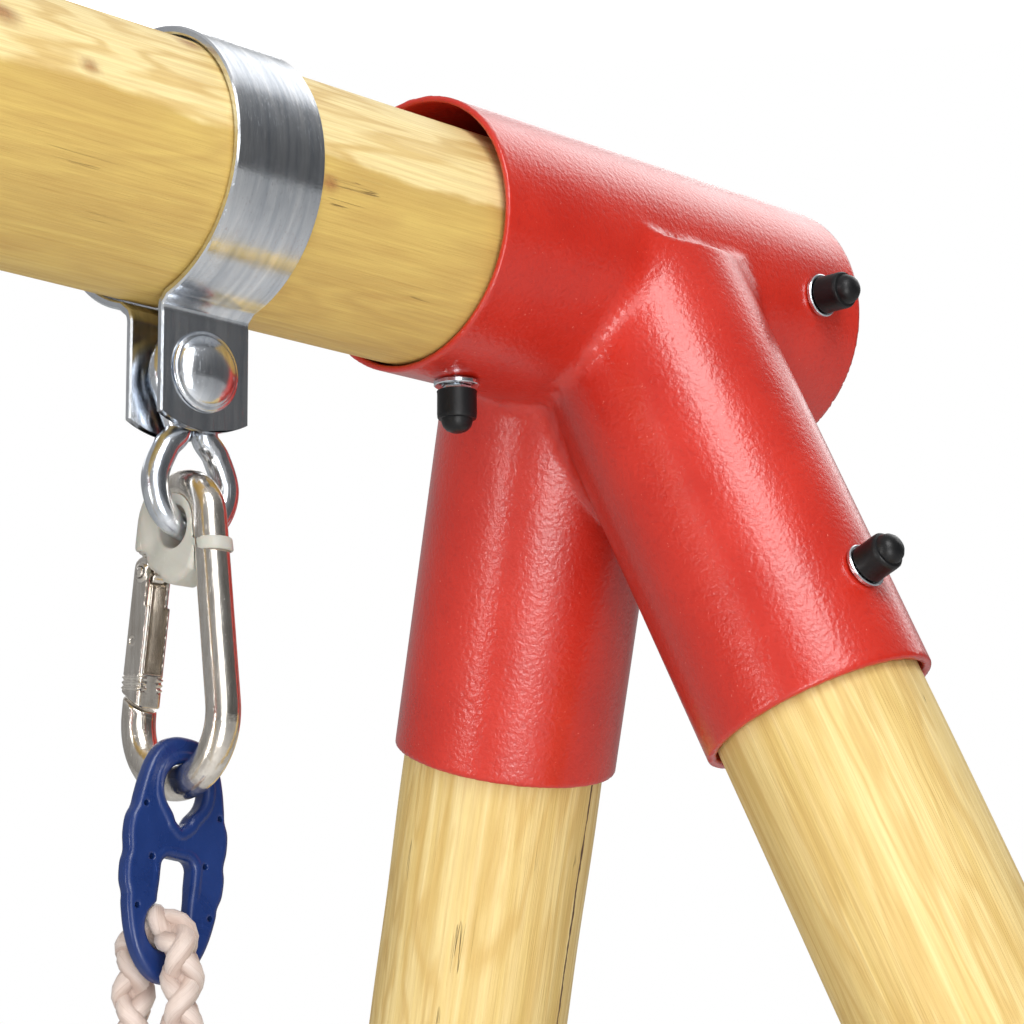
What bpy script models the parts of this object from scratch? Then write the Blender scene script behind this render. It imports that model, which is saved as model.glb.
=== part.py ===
"""A round-timber swing for one child: crossbeam, two steel corner brackets, four legs and a hanging seat.

The frame: X runs along the crossbeam, Z is up, and the origin is on the ground under the middle of the beam.
Each end has a corner bracket of welded tube that holds the crossbeam and two legs. Two hanger lines carry the
seat. Sizes are in metres.
"""

import math

import bmesh
import bpy
from mathutils import Matrix, Vector

# Crossbeam and its height
BEAM_AXIS_HEIGHT = 2.000  # the axis of the brackets' tubes
BEAM_SETTLE = 0.0028  # the beam rests on the bottom of the tubes' bores
BEAM_RADIUS = 0.0394
BEAM_END_INSET = 0.002

# Corner bracket: one tube on the beam and two leg tubes that meet above the beam's axis
MAIN_TUBE_RADIUS = 0.04445
LEG_TUBE_RADIUS = 0.0386
LEG_TUBE_WALL = 0.003
TUBE_WALL = 0.002
MAIN_TUBE_INNER_END = 0.0809  # from the leg joint towards the middle of the swing
MAIN_TUBE_OUTER_END = 0.0925  # from the leg joint outwards
LEG_JOINT_RISE = 0.0272  # the legs' axes meet this far above the beam's axis
LEG_TUBE_LENGTH = 0.193  # from the leg joint to the rim
LEG_TUBE_TOP = 0.003  # the leg tubes stop here, above the beam's axis
LEG_BORE_TOP = -0.008
LEG_SPREAD = math.radians(21.56)  # each leg from the vertical, seen along the beam
LEG_SPLAY = math.radians(10.07)  # each leg outwards, seen from the front
LEG_RADIUS = 0.035
LEG_TOP = 0.093  # the timber starts this far along the leg's axis

# Hanger lines
HANGER_X = 0.230
HANGER_TO_JOINT = 0.1705
BAND_WIDTH = 0.033
BAND_THICKNESS = 0.0025
BAND_INNER_RADIUS = 0.0397
EAR_INNER_FACE = 0.0059
BOLT_DROP = 0.063  # everything named a drop is measured down from the beam's axis
EAR_DROP = 0.0805
EAR_END_RADIUS = 0.034
BOLT_RADIUS = 0.005
BOLT_HEAD_RADIUS = 0.012
BOLT_HEAD_HEIGHT = 0.0055
LINK_BAR_RADIUS = 0.004
LINK_UPPER_RADIUS = 0.011
LINK_LOWER_RADIUS = 0.0131
LINK_BOTTOM_DROP = 0.1084
HOOK_BAR_RADIUS = 0.005
HOOK_TOP_RADIUS = 0.0115
HOOK_TOP_DROP = 0.1072
HOOK_BOTTOM_RADIUS = 0.0195
HOOK_BOTTOM_DROP = 0.1625
GATE_RADIUS = 0.0047
GATE_PIN_ALONG = 0.0140  # from the upper tangent point down the straight side
GATE_PIN_RADIUS = 0.0013
GATE_START = 0.0068  # the gate's round part runs from here to its end, measured from the pin
GATE_END = 0.0372
RING_TILT = math.radians(6)
RING_THICKNESS = 0.0065
RING_NARROWER = 0.93
ROPE_RADIUS = 0.0063
ROPE_ROOM = 0.0066
ROPE_TOP_RADIUS = 0.0106
ROPE_TOP_DROP = 0.2335
ROPE_X_SHIFT = 0.0052  # the tilted ring carries the rope this far inboard

# Seat
SEAT_TOP_HEIGHT = 0.430
SEAT_THICKNESS = 0.024
SEAT_LENGTH = 0.500
SEAT_DEPTH = 0.180
SEAT_CORNER = 0.040
SEAT_HOLE_RADIUS = 0.0085
SEAT_HOLE_Y = 0.060
KNOT_RADIUS = 0.0135
KNOT_DROP = 0.002  # the knots hang this far below the seat
KNOT_HEIGHT = 0.026

# Screws
SCREW_SHANK_RADIUS = 0.003
SCREW_LENGTH = 0.036
SCREW_HEAD_RADIUS = 0.0050
SCREW_HEAD_HEIGHT = 0.004
WASHER_RADIUS = 0.0073
WASHER_THICKNESS = 0.0016
CAP_RADIUS = 0.0063
CAP_HEIGHT = 0.014
SCREW_UNDER_BEAM = -0.0600  # along the beam from the leg joint
SCREW_BESIDE_BEAM = 0.0700
SCREW_ALONG_LEG = 0.1617
REAR_SCREW_TURN = 0.9  # the rear screws sit further round their tubes, towards the ends

GAP = 0.0003
CLEAR_OF = 0.0004
LEG_JOINT_X = HANGER_X + HANGER_TO_JOINT
ROUND_TUBE = 40
ROUND_SMALL = 16

COLOURS = {
    "pine": ((0.80, 0.58, 0.30), 0.55, 0.0),
    "red_powder_coat": ((0.60, 0.03, 0.015), 0.35, 0.0),
    "zinc_plated_steel": ((0.62, 0.64, 0.66), 0.25, 1.0),
    "nickel_plated_steel": ((0.70, 0.68, 0.64), 0.18, 1.0),
    "black_plastic": ((0.012, 0.012, 0.012), 0.45, 0.0),
    "white_nylon": ((0.75, 0.74, 0.70), 0.40, 0.0),
    "blue_plastic": ((0.015, 0.035, 0.25), 0.35, 0.0),
    "rope_fibre": ((0.78, 0.68, 0.62), 0.60, 0.0),
}


def clear_scene():
    for obj in list(bpy.data.objects):
        bpy.data.objects.remove(obj, do_unlink=True)


def new_collection(name):
    collection = bpy.data.collections.new(name)
    bpy.context.scene.collection.children.link(collection)
    return collection


def new_material(name):
    colour, roughness, metallic = COLOURS[name]
    material = bpy.data.materials.new(name)
    material.use_nodes = True
    shader = material.node_tree.nodes["Principled BSDF"]
    shader.inputs["Base Color"].default_value = (*colour, 1)
    shader.inputs["Roughness"].default_value = roughness
    shader.inputs["Metallic"].default_value = metallic
    return material


clear_scene()
PARTS = new_collection("swing_set")
CUTTERS = new_collection("cutters")
MATERIALS = {name: new_material(name) for name in COLOURS}


# ---------------------------------------------------------------- building blocks


def add_object(name, mesh, material=None):
    """A part when it has a material, and otherwise a cutter, which stays out of the model."""
    obj = bpy.data.objects.new(name, mesh)
    if material:
        PARTS.objects.link(obj)
        mesh.materials.append(MATERIALS[material])
        if hasattr(mesh, "polygons"):
            mesh.shade_smooth()
            mesh.set_sharp_from_angle(angle=math.radians(35))
    else:
        CUTTERS.objects.link(obj)
        obj.hide_render = True
        obj.display_type = "WIRE"
    return obj


def turn_to(direction):
    return Vector((0, 0, 1)).rotation_difference(Vector(direction).normalized())


def rod(name, start, end, radius, material=None, segments=ROUND_TUBE):
    """A closed cylinder between two points."""
    start, end = Vector(start), Vector(end)
    mesh = bpy.data.meshes.new(name)
    shape = bmesh.new()
    bmesh.ops.create_cone(
        shape,
        cap_ends=True,
        segments=segments,
        radius1=radius,
        radius2=radius,
        depth=(end - start).length,
    )
    shape.to_mesh(mesh)
    shape.free()
    obj = add_object(name, mesh, material)
    obj.rotation_mode = "QUATERNION"
    obj.rotation_quaternion = turn_to(end - start)
    obj.location = (start + end) / 2
    return obj


def block(name, centre, size, material=None):
    mesh = bpy.data.meshes.new(name)
    shape = bmesh.new()
    bmesh.ops.create_cube(shape, size=1)
    bmesh.ops.scale(shape, vec=size, verts=shape.verts)
    shape.to_mesh(mesh)
    shape.free()
    obj = add_object(name, mesh, material)
    obj.location = centre
    return obj


def cut_flat(obj, point, normal):
    """Takes away what lies on the side of a plane that its normal points to, and closes the cut."""
    to_local = (Matrix.Translation(obj.location) @ obj.rotation_quaternion.to_matrix().to_4x4()).inverted()
    shape = bmesh.new()
    shape.from_mesh(obj.data)
    found = bmesh.ops.bisect_plane(
        shape,
        geom=shape.verts[:] + shape.edges[:] + shape.faces[:],
        plane_co=to_local @ Vector(point),
        plane_no=to_local.to_3x3() @ Vector(normal),
        clear_outer=True,
    )
    edges = [item for item in found["geom_cut"] if isinstance(item, bmesh.types.BMEdge)]
    bmesh.ops.contextual_create(shape, geom=edges)
    bmesh.ops.recalc_face_normals(shape, faces=shape.faces)
    shape.to_mesh(obj.data)
    shape.free()
    return obj


def turned(name, profile, origin, direction, material=None, steps=ROUND_SMALL, closed=False):
    """A turned piece. The profile holds (radius, height) points down the outer side."""
    mesh = bpy.data.meshes.new(name)
    edges = [(i, i + 1) for i in range(len(profile) - 1)]
    if closed:
        edges.append((len(profile) - 1, 0))
    mesh.from_pydata([(radius, 0, height) for radius, height in profile], edges, [])
    obj = add_object(name, mesh, material)
    obj.location = origin
    obj.rotation_mode = "QUATERNION"
    obj.rotation_quaternion = turn_to(direction)
    screw = obj.modifiers.new("turn", "SCREW")
    screw.axis = "Z"
    screw.steps = steps
    screw.render_steps = steps
    screw.use_merge_vertices = True
    screw.merge_threshold = 0.00001
    screw.use_smooth_shade = True
    return obj


def boolean(obj, other, operation, solver="EXACT"):
    modifier = obj.modifiers.new(operation.lower() + "_" + other.name, "BOOLEAN")
    modifier.operation = operation
    modifier.object = other
    modifier.solver = solver
    return obj


def pivot(name, place, parent=None):
    """An empty on a joint's axis, which the moving pieces hang from."""
    empty = bpy.data.objects.new(name, None)
    empty.empty_display_size = 0.02
    empty.location = Vector(place) - (Vector(parent["place"]) if parent else Vector())
    empty["place"] = tuple(place)
    empty.parent = parent
    PARTS.objects.link(empty)
    return empty


def hang(parent, *names):
    """Parents pieces to a pivot where they are."""
    for name in names:
        obj = bpy.data.objects[name]
        obj.parent = parent
        obj.matrix_parent_inverse = Matrix.Translation(parent["place"]).inverted()


def smooth_through(points, per_span, closed=False):
    """Points along a Catmull-Rom curve through the given ones."""
    count = len(points)
    spans = count if closed else count - 1
    out = []
    for i in range(spans):
        if closed:
            a, b, c, d = (Vector(points[(i + k) % count]) for k in (-1, 0, 1, 2))
        else:
            a, b, c, d = (Vector(points[min(max(i + k, 0), count - 1)]) for k in (-1, 0, 1, 2))
        for step in range(per_span):
            t = step / per_span
            out.append(
                0.5 * (2 * b + (c - a) * t + (2 * a - 5 * b + 4 * c - d) * t**2 + (3 * b - 3 * c + d - a) * t**3)
            )
    if not closed:
        out.append(Vector(points[-1]))
    return out


def arc(centre, radius, start, end, count):
    """Points on an arc in a plane, angles in degrees from the first axis."""
    return [
        (
            centre[0] + radius * math.cos(math.radians(start + (end - start) * i / (count - 1))),
            centre[1] + radius * math.sin(math.radians(start + (end - start) * i / (count - 1))),
        )
        for i in range(count)
    ]


def bar(name, points, radius, material=None, closed=False, resolution=2):
    """A round bar bent along a line of points."""
    curve = bpy.data.curves.new(name, "CURVE")
    curve.dimensions = "3D"
    curve.bevel_depth = radius
    curve.bevel_resolution = resolution
    curve.use_fill_caps = not closed
    spline = curve.splines.new("POLY")
    spline.points.add(len(points) - 1)
    for item, point in zip(spline.points, points):
        item.co = (*point, 1)
    spline.use_cyclic_u = closed
    obj = add_object(name, curve, material)
    return obj


def to_mesh(obj):
    """The same object as a mesh with its caps welded, which a Boolean can use."""
    bpy.context.view_layer.update()
    graph = bpy.context.evaluated_depsgraph_get()
    mesh = bpy.data.meshes.new_from_object(obj.evaluated_get(graph))
    mesh.name = obj.name
    shape = bmesh.new()
    shape.from_mesh(mesh)
    bmesh.ops.remove_doubles(shape, verts=shape.verts, dist=0.000005)
    bmesh.ops.recalc_face_normals(shape, faces=shape.faces)
    shape.to_mesh(mesh)
    shape.free()
    name, place = obj.name, obj.matrix_world.copy()
    collection = obj.users_collection[0]
    hidden, shown = obj.hide_render, obj.display_type
    bpy.data.objects.remove(obj, do_unlink=True)
    new = bpy.data.objects.new(name, mesh)
    new.matrix_world = place
    new.hide_render, new.display_type = hidden, shown
    collection.objects.link(new)
    return new


def plate(name, outline, thickness, place, material=None, holes=()):
    """A flat outline, with holes, given a thickness. Its plane is the local XY plane of place."""
    curve = bpy.data.curves.new(name, "CURVE")
    curve.dimensions = "2D"
    curve.fill_mode = "BOTH"
    curve.extrude = thickness / 2
    for loop in (outline, *holes):
        spline = curve.splines.new("POLY")
        spline.points.add(len(loop) - 1)
        for item, point in zip(spline.points, loop):
            item.co = (point[0], point[1], 0, 1)
        spline.use_cyclic_u = True
    obj = add_object(name, curve, material)
    obj.matrix_world = place
    obj = to_mesh(obj)
    if material:
        obj.data.shade_smooth()
        obj.data.set_sharp_from_angle(angle=math.radians(35))
    return obj


def plane_facing(normal, right, origin):
    """A placement whose local X is right, local Z is normal and local Y completes them."""
    z = Vector(normal).normalized()
    x = Vector(right).normalized()
    y = z.cross(x)
    return Matrix.Translation(origin) @ Matrix((x, y, z)).transposed().to_4x4()


# ---------------------------------------------------------------- frame


def leg_direction(side, row):
    """Down along a leg: side is 1 at the +X end, row is -1 for the front leg."""
    return Vector((side * math.tan(LEG_SPLAY), row * math.tan(LEG_SPREAD), -1)).normalized()


def leg_joint(side):
    return Vector((side * LEG_JOINT_X, 0, BEAM_AXIS_HEIGHT + LEG_JOINT_RISE))


def screw_places(side):
    """Each screw of a bracket: its name, the point on the tube's surface and the direction outwards."""
    beam = Vector((side * LEG_JOINT_X, 0, BEAM_AXIS_HEIGHT))
    under = beam + Vector((side * SCREW_UNDER_BEAM, 0, -MAIN_TUBE_RADIUS))
    beside = beam + Vector((side * SCREW_BESIDE_BEAM, -MAIN_TUBE_RADIUS, 0))
    places = [("under", under, Vector((0, 0, -1))), ("side", beside, Vector((0, -1, 0)))]
    for row, word in ((-1, "front_leg"), (1, "rear_leg")):
        along = leg_direction(side, row)
        out = Vector((0 if row < 0 else side * REAR_SCREW_TURN, row, 0))
        out = (out - along * out.dot(along)).normalized()
        places.append((word, leg_joint(side) + along * SCREW_ALONG_LEG + out * LEG_TUBE_RADIUS, out))
    return places


def screw_hole(name, point, out):
    """The hole through the tube's wall and down into the timber."""
    return rod(name, point + out * 0.006, point - out * (SCREW_LENGTH + 0.001), 0.0037, segments=16)


def make_screw(label, point, out):
    seat = point + out * (GAP + WASHER_THICKNESS + GAP)
    turned(
        "washer_" + label,
        [
            (SCREW_SHANK_RADIUS + CLEAR_OF, WASHER_THICKNESS),
            (WASHER_RADIUS, WASHER_THICKNESS),
            (WASHER_RADIUS, 0),
            (SCREW_SHANK_RADIUS + CLEAR_OF, 0),
        ],
        point + out * GAP,
        out,
        "zinc_plated_steel",
        closed=True,
    )
    shank = rod(
        "shank_" + label, seat + out * 0.002, point - out * SCREW_LENGTH, SCREW_SHANK_RADIUS, segments=12
    )
    screw = rod(
        "screw_" + label, seat, seat + out * SCREW_HEAD_HEIGHT, SCREW_HEAD_RADIUS, "zinc_plated_steel", 6
    )
    boolean(screw, shank, "UNION")
    turned(
        "cap_" + label,
        [
            (0, CAP_HEIGHT),
            (0.0034, CAP_HEIGHT - 0.0012),
            (0.0049, CAP_HEIGHT - 0.0044),
            (CAP_RADIUS, CAP_HEIGHT - 0.0050),
            (CAP_RADIUS, 0),
            (SCREW_HEAD_RADIUS + CLEAR_OF, 0),
            (SCREW_HEAD_RADIUS + CLEAR_OF, SCREW_HEAD_HEIGHT + 0.001),
            (0, SCREW_HEAD_HEIGHT + 0.001),
        ],
        seat,
        out,
        "black_plastic",
    )


def make_bracket(side, word):
    """The welded bracket: three joined tubes. The leg bores stop at the beam's tube, whose wall stays whole."""
    joint = leg_joint(side)
    beam = Vector((side * LEG_JOINT_X, 0, BEAM_AXIS_HEIGHT))
    ends = beam - Vector((side * MAIN_TUBE_INNER_END, 0, 0)), beam + Vector((side * MAIN_TUBE_OUTER_END, 0, 0))
    past = Vector((side * 0.01, 0, 0))
    bracket = rod("bracket_" + word, *ends, MAIN_TUBE_RADIUS, "red_powder_coat")
    stop = rod("leg_bore_stop_" + word, ends[0] - past, ends[1] + past, MAIN_TUBE_RADIUS - 0.0002)
    bores = []
    for row, name in ((-1, "front"), (1, "rear")):
        along = leg_direction(side, row)
        rim = joint + along * LEG_TUBE_LENGTH
        shell = rod(f"leg_shell_{name}_{word}", joint - along * 0.04, rim, LEG_TUBE_RADIUS)
        cut_flat(shell, (0, 0, BEAM_AXIS_HEIGHT + LEG_TUBE_TOP + row * 0.0003), (0, 0, 1))
        boolean(bracket, shell, "UNION", "MANIFOLD")
        bore = rod(
            f"leg_bore_{name}_{word}", joint - along * 0.04, rim + along * 0.01, LEG_TUBE_RADIUS - LEG_TUBE_WALL
        )
        cut_flat(bore, (0, 0, BEAM_AXIS_HEIGHT + LEG_BORE_TOP + row * 0.0003), (0, 0, 1))
        boolean(bore, stop, "DIFFERENCE", "MANIFOLD")
        bores.append(bore)
    for bore in bores:
        boolean(bracket, bore, "DIFFERENCE", "MANIFOLD")
    main_bore = rod(
        "main_bore_" + word, ends[0] - past, ends[1] + past, MAIN_TUBE_RADIUS - TUBE_WALL
    )
    boolean(bracket, main_bore, "DIFFERENCE", "MANIFOLD")
    return bracket


def make_frame():
    end = LEG_JOINT_X + MAIN_TUBE_OUTER_END - BEAM_END_INSET
    height = BEAM_AXIS_HEIGHT - BEAM_SETTLE
    crossbeam = rod("crossbeam", (-end, 0, height), (end, 0, height), BEAM_RADIUS, "pine")
    for side, word in ((1, "right"), (-1, "left")):
        bracket = make_bracket(side, word)
        legs = {}
        for row, name in ((-1, "front_leg"), (1, "rear_leg")):
            along = leg_direction(side, row)
            foot = leg_joint(side) - along * (leg_joint(side).z / along.z) + along * 0.05
            leg = rod(f"{name}_{word}", leg_joint(side) + along * LEG_TOP, foot, LEG_RADIUS, "pine")
            cut_flat(leg, (0, 0, 0), (0, 0, -1))
            legs[name] = leg
        for name, point, out in screw_places(side):
            label = f"{name}_{word}"
            hole = screw_hole("hole_" + label, point, out)
            boolean(bracket, hole, "DIFFERENCE", "MANIFOLD")
            boolean(legs.get(name, crossbeam), hole, "DIFFERENCE")
            make_screw(label, point, out)


# ---------------------------------------------------------------- hanger lines


def at(x, y, drop):
    """A point beside the beam: y across it and drop below its axis."""
    return Vector((x, y, BEAM_AXIS_HEIGHT - drop))


def make_band(x, word):
    """The clamp band: over the beam and down into two ears with rounded ends."""
    outer = BAND_INNER_RADIUS + BAND_THICKNESS
    ear_outer = EAR_INNER_FACE + BAND_THICKNESS
    low = -EAR_DROP - 0.002
    start_out = math.degrees(math.asin(ear_outer / outer))
    start_in = math.degrees(math.asin(EAR_INNER_FACE / BAND_INNER_RADIUS))
    outline = (
        [(ear_outer, low)]
        + arc((0, -BEAM_SETTLE), outer, -90 + start_out, 270 - start_out, 31)
        + [(-ear_outer, low), (-EAR_INNER_FACE, low)]
        + arc((0, -BEAM_SETTLE), BAND_INNER_RADIUS, 270 - start_in, -90 + start_in, 31)
        + [(EAR_INNER_FACE, low)]
    )
    place = plane_facing((1, 0, 0), (0, 1, 0), (x, 0, BEAM_AXIS_HEIGHT))
    band = plate("band_" + word, outline, BAND_WIDTH, place, "zinc_plated_steel")
    half = BAND_WIDTH / 2
    end_angle = math.degrees(math.asin(half / EAR_END_RADIUS))
    centre = EAR_END_RADIUS - EAR_DROP
    front = [(half + 0.002, 0.06), (-half - 0.002, 0.06)]
    front += [(-half - 0.002, -EAR_DROP + EAR_END_RADIUS - EAR_END_RADIUS * math.cos(math.radians(end_angle)))]
    front += arc((0, centre), EAR_END_RADIUS, 270 - end_angle, 270 + end_angle, 13)
    front += [(half + 0.002, front[2][1])]
    keep = plate(
        "band_front_" + word,
        front,
        0.12,
        plane_facing((0, -1, 0), (1, 0, 0), (x, 0, BEAM_AXIS_HEIGHT)),
    )
    boolean(band, keep, "INTERSECT")
    hole = rod("bolt_hole_" + word, at(x, -0.02, BOLT_DROP), at(x, 0.02, BOLT_DROP), 0.0054, segments=ROUND_SMALL)
    boolean(band, hole, "DIFFERENCE")


def make_bolt(x, word):
    ear_outer = EAR_INNER_FACE + BAND_THICKNESS
    head = ear_outer + GAP
    tip = ear_outer + 0.0125
    dome = [
        (BOLT_HEAD_RADIUS * math.sin(math.radians(angle)), head + BOLT_HEAD_HEIGHT * math.cos(math.radians(angle)))
        for angle in range(0, 85, 20)
    ]
    profile = dome + [
        (BOLT_HEAD_RADIUS, head),
        (BOLT_RADIUS, head),
        (BOLT_RADIUS, -tip + 0.0008),
        (BOLT_RADIUS - 0.0008, -tip),
        (0, -tip),
    ]
    turned("carriage_bolt_" + word, profile, at(x, 0, BOLT_DROP), (0, -1, 0), "zinc_plated_steel", steps=20)
    nut = rod(
        "nut_" + word, at(x, ear_outer + GAP, BOLT_DROP), at(x, ear_outer + 0.0085, BOLT_DROP), 0.0098,
        "zinc_plated_steel", 6,
    )
    bore = rod(
        "nut_bore_" + word, at(x, 0.004, BOLT_DROP), at(x, 0.03, BOLT_DROP), BOLT_RADIUS + CLEAR_OF,
        segments=ROUND_SMALL,
    )
    boolean(nut, bore, "DIFFERENCE")
    half = EAR_INNER_FACE - GAP
    inner, outer = BOLT_RADIUS + CLEAR_OF, 0.0066
    turned(
        "bush_" + word,
        [(inner, half), (outer, half), (outer, -half), (inner, -half)],
        at(x, 0, BOLT_DROP),
        (0, -1, 0),
        "zinc_plated_steel",
        closed=True,
    )


def make_link(x, word):
    """The eye link: one bar bent into an upper loop on the bolt and a lower loop for the snap hook."""
    low_centre = LINK_BOTTOM_DROP - LINK_LOWER_RADIUS
    upper, lower = LINK_UPPER_RADIUS, LINK_LOWER_RADIUS
    half = [
        (0, BOLT_DROP - upper),
        (0.72 * upper, BOLT_DROP - 0.70 * upper),
        (upper, BOLT_DROP),
        (0.80 * upper, BOLT_DROP + 0.66 * upper),
        (0.0068, BOLT_DROP + 1.42 * upper),
        (0.72 * lower, low_centre - 0.74 * lower),
        (lower, low_centre),
        (0.71 * lower, low_centre + 0.71 * lower),
        (0, LINK_BOTTOM_DROP),
    ]
    loop = half + [(-across, drop) for across, drop in half[-2:0:-1]]
    points = smooth_through([at(x + across, 0, drop) for across, drop in loop], 2, closed=True)
    bar("eye_link_" + word, points, LINK_BAR_RADIUS, "zinc_plated_steel", closed=True)


def hook_side(distance):
    """(y, drop) on the gate side's straight run, this far below its upper tangent point."""
    rise = (HOOK_BOTTOM_RADIUS - HOOK_TOP_RADIUS) / (HOOK_BOTTOM_DROP - HOOK_TOP_DROP)
    cosine = math.sqrt(1 - rise**2)
    return (
        HOOK_TOP_RADIUS * cosine + distance * rise,
        HOOK_TOP_DROP - HOOK_TOP_RADIUS * rise + distance * cosine,
    )


def hook_line():
    """(y, drop) along the snap hook's bar: from the gate's pin, over the top, down the back and up to the nose."""
    lean = math.degrees(math.asin((HOOK_BOTTOM_RADIUS - HOOK_TOP_RADIUS) / (HOOK_BOTTOM_DROP - HOOK_TOP_DROP)))
    top = arc((0, -HOOK_TOP_DROP), HOOK_TOP_RADIUS, lean, 180 - lean, 12)
    bottom = arc((0, -HOOK_BOTTOM_DROP), HOOK_BOTTOM_RADIUS, 180 - lean, 360 + lean, 17)
    points = [hook_side(GATE_PIN_ALONG + 0.004), hook_side(GATE_PIN_ALONG / 2)]
    points += [(y, -height) for y, height in top]
    points += [(y, -height) for y, height in bottom]
    return points


def make_hook(x, word):
    """The snap hook: a bent bar with a forked end for the gate, its pin, and the gate that swings on the pin."""
    points = [at(x, y, drop) for y, drop in hook_line()]
    hook = to_mesh(bar("snap_hook_" + word, points, HOOK_BAR_RADIUS, "nickel_plated_steel"))
    pin_y, pin_drop = hook_side(GATE_PIN_ALONG)
    end_y, end_drop = hook_side(GATE_PIN_ALONG + GATE_END)
    pin = at(x, pin_y, pin_drop)
    fork = block("hook_fork_" + word, at(x, pin_y, pin_drop - 0.0004), (0.0050, 0.016, 0.0108))
    boolean(hook, fork, "DIFFERENCE")
    pin_hole = rod(
        "pin_hole_" + word, pin - Vector((0.008, 0, 0)), pin + Vector((0.008, 0, 0)),
        GATE_PIN_RADIUS + CLEAR_OF, segments=12,
    )
    boolean(hook, pin_hole, "DIFFERENCE")
    rod(
        "gate_pin_" + word, pin - Vector((0.0054, 0, 0)), pin + Vector((0.0054, 0, 0)),
        GATE_PIN_RADIUS, "nickel_plated_steel", 12,
    )
    start_y, start_drop = hook_side(GATE_PIN_ALONG + GATE_START)
    gate = rod(
        "gate_" + word, at(x, start_y, start_drop), at(x, end_y, end_drop), GATE_RADIUS,
        "nickel_plated_steel", ROUND_SMALL,
    )
    tongue_half = 0.0021
    tongue_end = hook_side(GATE_PIN_ALONG + 0.010)
    tongue_round = rod(
        "tongue_round_" + word, pin - Vector((tongue_half, 0, 0)), pin + Vector((tongue_half, 0, 0)),
        0.0038, segments=16,
    )
    middle_y, middle_drop = (pin_y + tongue_end[0]) / 2, (pin_drop + tongue_end[1]) / 2
    tongue = block("tongue_" + word, (0, 0, 0), (2 * tongue_half, 0.0074, 0.0090))
    lean = math.atan2(tongue_end[0] - pin_y, tongue_end[1] - pin_drop)
    tongue.matrix_world = Matrix.Translation(at(x, middle_y, middle_drop)) @ Matrix.Rotation(lean, 4, "X")
    boolean(gate, tongue, "UNION")
    boolean(gate, tongue_round, "UNION")
    boolean(gate, pin_hole, "DIFFERENCE")
    return hook


def make_thimble(x, word):
    """The nylon liner: a plate in the hook's top loop with a sleeve round its gate side, bored for the link."""
    top = arc((0, -HOOK_TOP_DROP), HOOK_TOP_RADIUS, 10, 100, 8)
    upper_y, upper_drop = hook_side(0.004)
    sleeve_points = [at(x, upper_y, upper_drop)] + [at(x, y, -height) for y, height in top]
    sleeve = to_mesh(bar("sleeve_" + word, sleeve_points, HOOK_BAR_RADIUS + 0.0016))
    inner_y, inner_drop = -0.0085, 0.1215
    outline = [
        (0.0100, -0.0985),
        (0.0125, -0.1060),
        (0.0128, -0.1130),
        (0.0100, -0.1185),
        (0.0045, -0.1225),
        (-0.0020, -0.1235),
        (inner_y, -inner_drop),
        (-0.0115, -0.1150),
        (-0.0112, -0.1060),
        (-0.0080, -0.0985),
        (0.0, -0.0952),
    ]
    place = plane_facing((1, 0, 0), (0, 1, 0), (x, 0, BEAM_AXIS_HEIGHT))
    body = plate("thimble_" + word, outline, 0.0100, place, "white_nylon")
    boolean(body, sleeve, "UNION")
    line = [at(x, y, drop) for y, drop in hook_line()]
    room = to_mesh(bar("hook_room_" + word, line, HOOK_BAR_RADIUS + CLEAR_OF))
    boolean(body, room, "DIFFERENCE")
    link_low = at(x, 0, LINK_BOTTOM_DROP)
    hole = rod(
        "link_room_" + word, link_low - Vector((0.02, 0, 0)), link_low + Vector((0.02, 0, 0)),
        LINK_BAR_RADIUS + 0.0018, segments=ROUND_SMALL,
    )
    boolean(body, hole, "DIFFERENCE")
    return body


def ring_outline():
    """Half widths of the rope ring down its height, from its top to its foot, with three scallops a side."""
    half = [
        (0.0, 0.1685),
        (0.0050, 0.1690),
        (0.0095, 0.1712),
        (0.0130, 0.1755),
        (0.0152, 0.1810),
        (0.0166, 0.1868),
        (0.0172, 0.1900),
        (0.0188, 0.1935),
        (0.0191, 0.1985),
        (0.0184, 0.2030),
        (0.0191, 0.2065),
        (0.0188, 0.2115),
        (0.0174, 0.2150),
        (0.0171, 0.2180),
        (0.0155, 0.2240),
        (0.0130, 0.2295),
        (0.0095, 0.2340),
        (0.0050, 0.2372),
        (0.0, 0.2382),
    ]
    half = [(across * RING_NARROWER, drop) for across, drop in half]
    return half + [(-across, drop) for across, drop in half[-2:0:-1]]


def make_ring(x, inboard, word):
    """The rope ring: a flat moulding with a round eye for the hook and a slot with a rounded seat for the rope."""
    eye = [(across, -0.1834 + height) for across, height in arc((0, 0), 0.0073, 205, -25, 14)]
    eye += [(0.0030, -0.1925), (0, -0.1942), (-0.0030, -0.1925)]
    slot = arc((0.0028, -0.2060), 0.0028, 0, 90, 4) + arc((-0.0028, -0.2060), 0.0028, 90, 180, 4)
    slot += [(-0.0056, -0.2230), (0.0056, -0.2230)]
    pivot = HOOK_BOTTOM_DROP + HOOK_BOTTOM_RADIUS
    place = (
        Matrix.Translation(at(x, 0, pivot))
        @ Matrix.Rotation(inboard * -RING_TILT, 4, "Y")
        @ plane_facing((0, -1, 0), (1, 0, 0), (0, 0, pivot))
    )
    outline = [(across, -drop) for across, drop in ring_outline()]
    ring = plate("rope_ring_" + word, outline, RING_THICKNESS, place, "blue_plastic", holes=(eye, slot))
    soften(ring, 0.0011, 1)
    route = rope_route(x, inboard)
    low = BEAM_AXIS_HEIGHT - ROPE_TOP_DROP - 0.05
    room = bar("rope_room_" + word, [point for point in route if point.z > low], ROPE_ROOM, resolution=3)
    boolean(ring, to_mesh(room), "DIFFERENCE")


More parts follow.
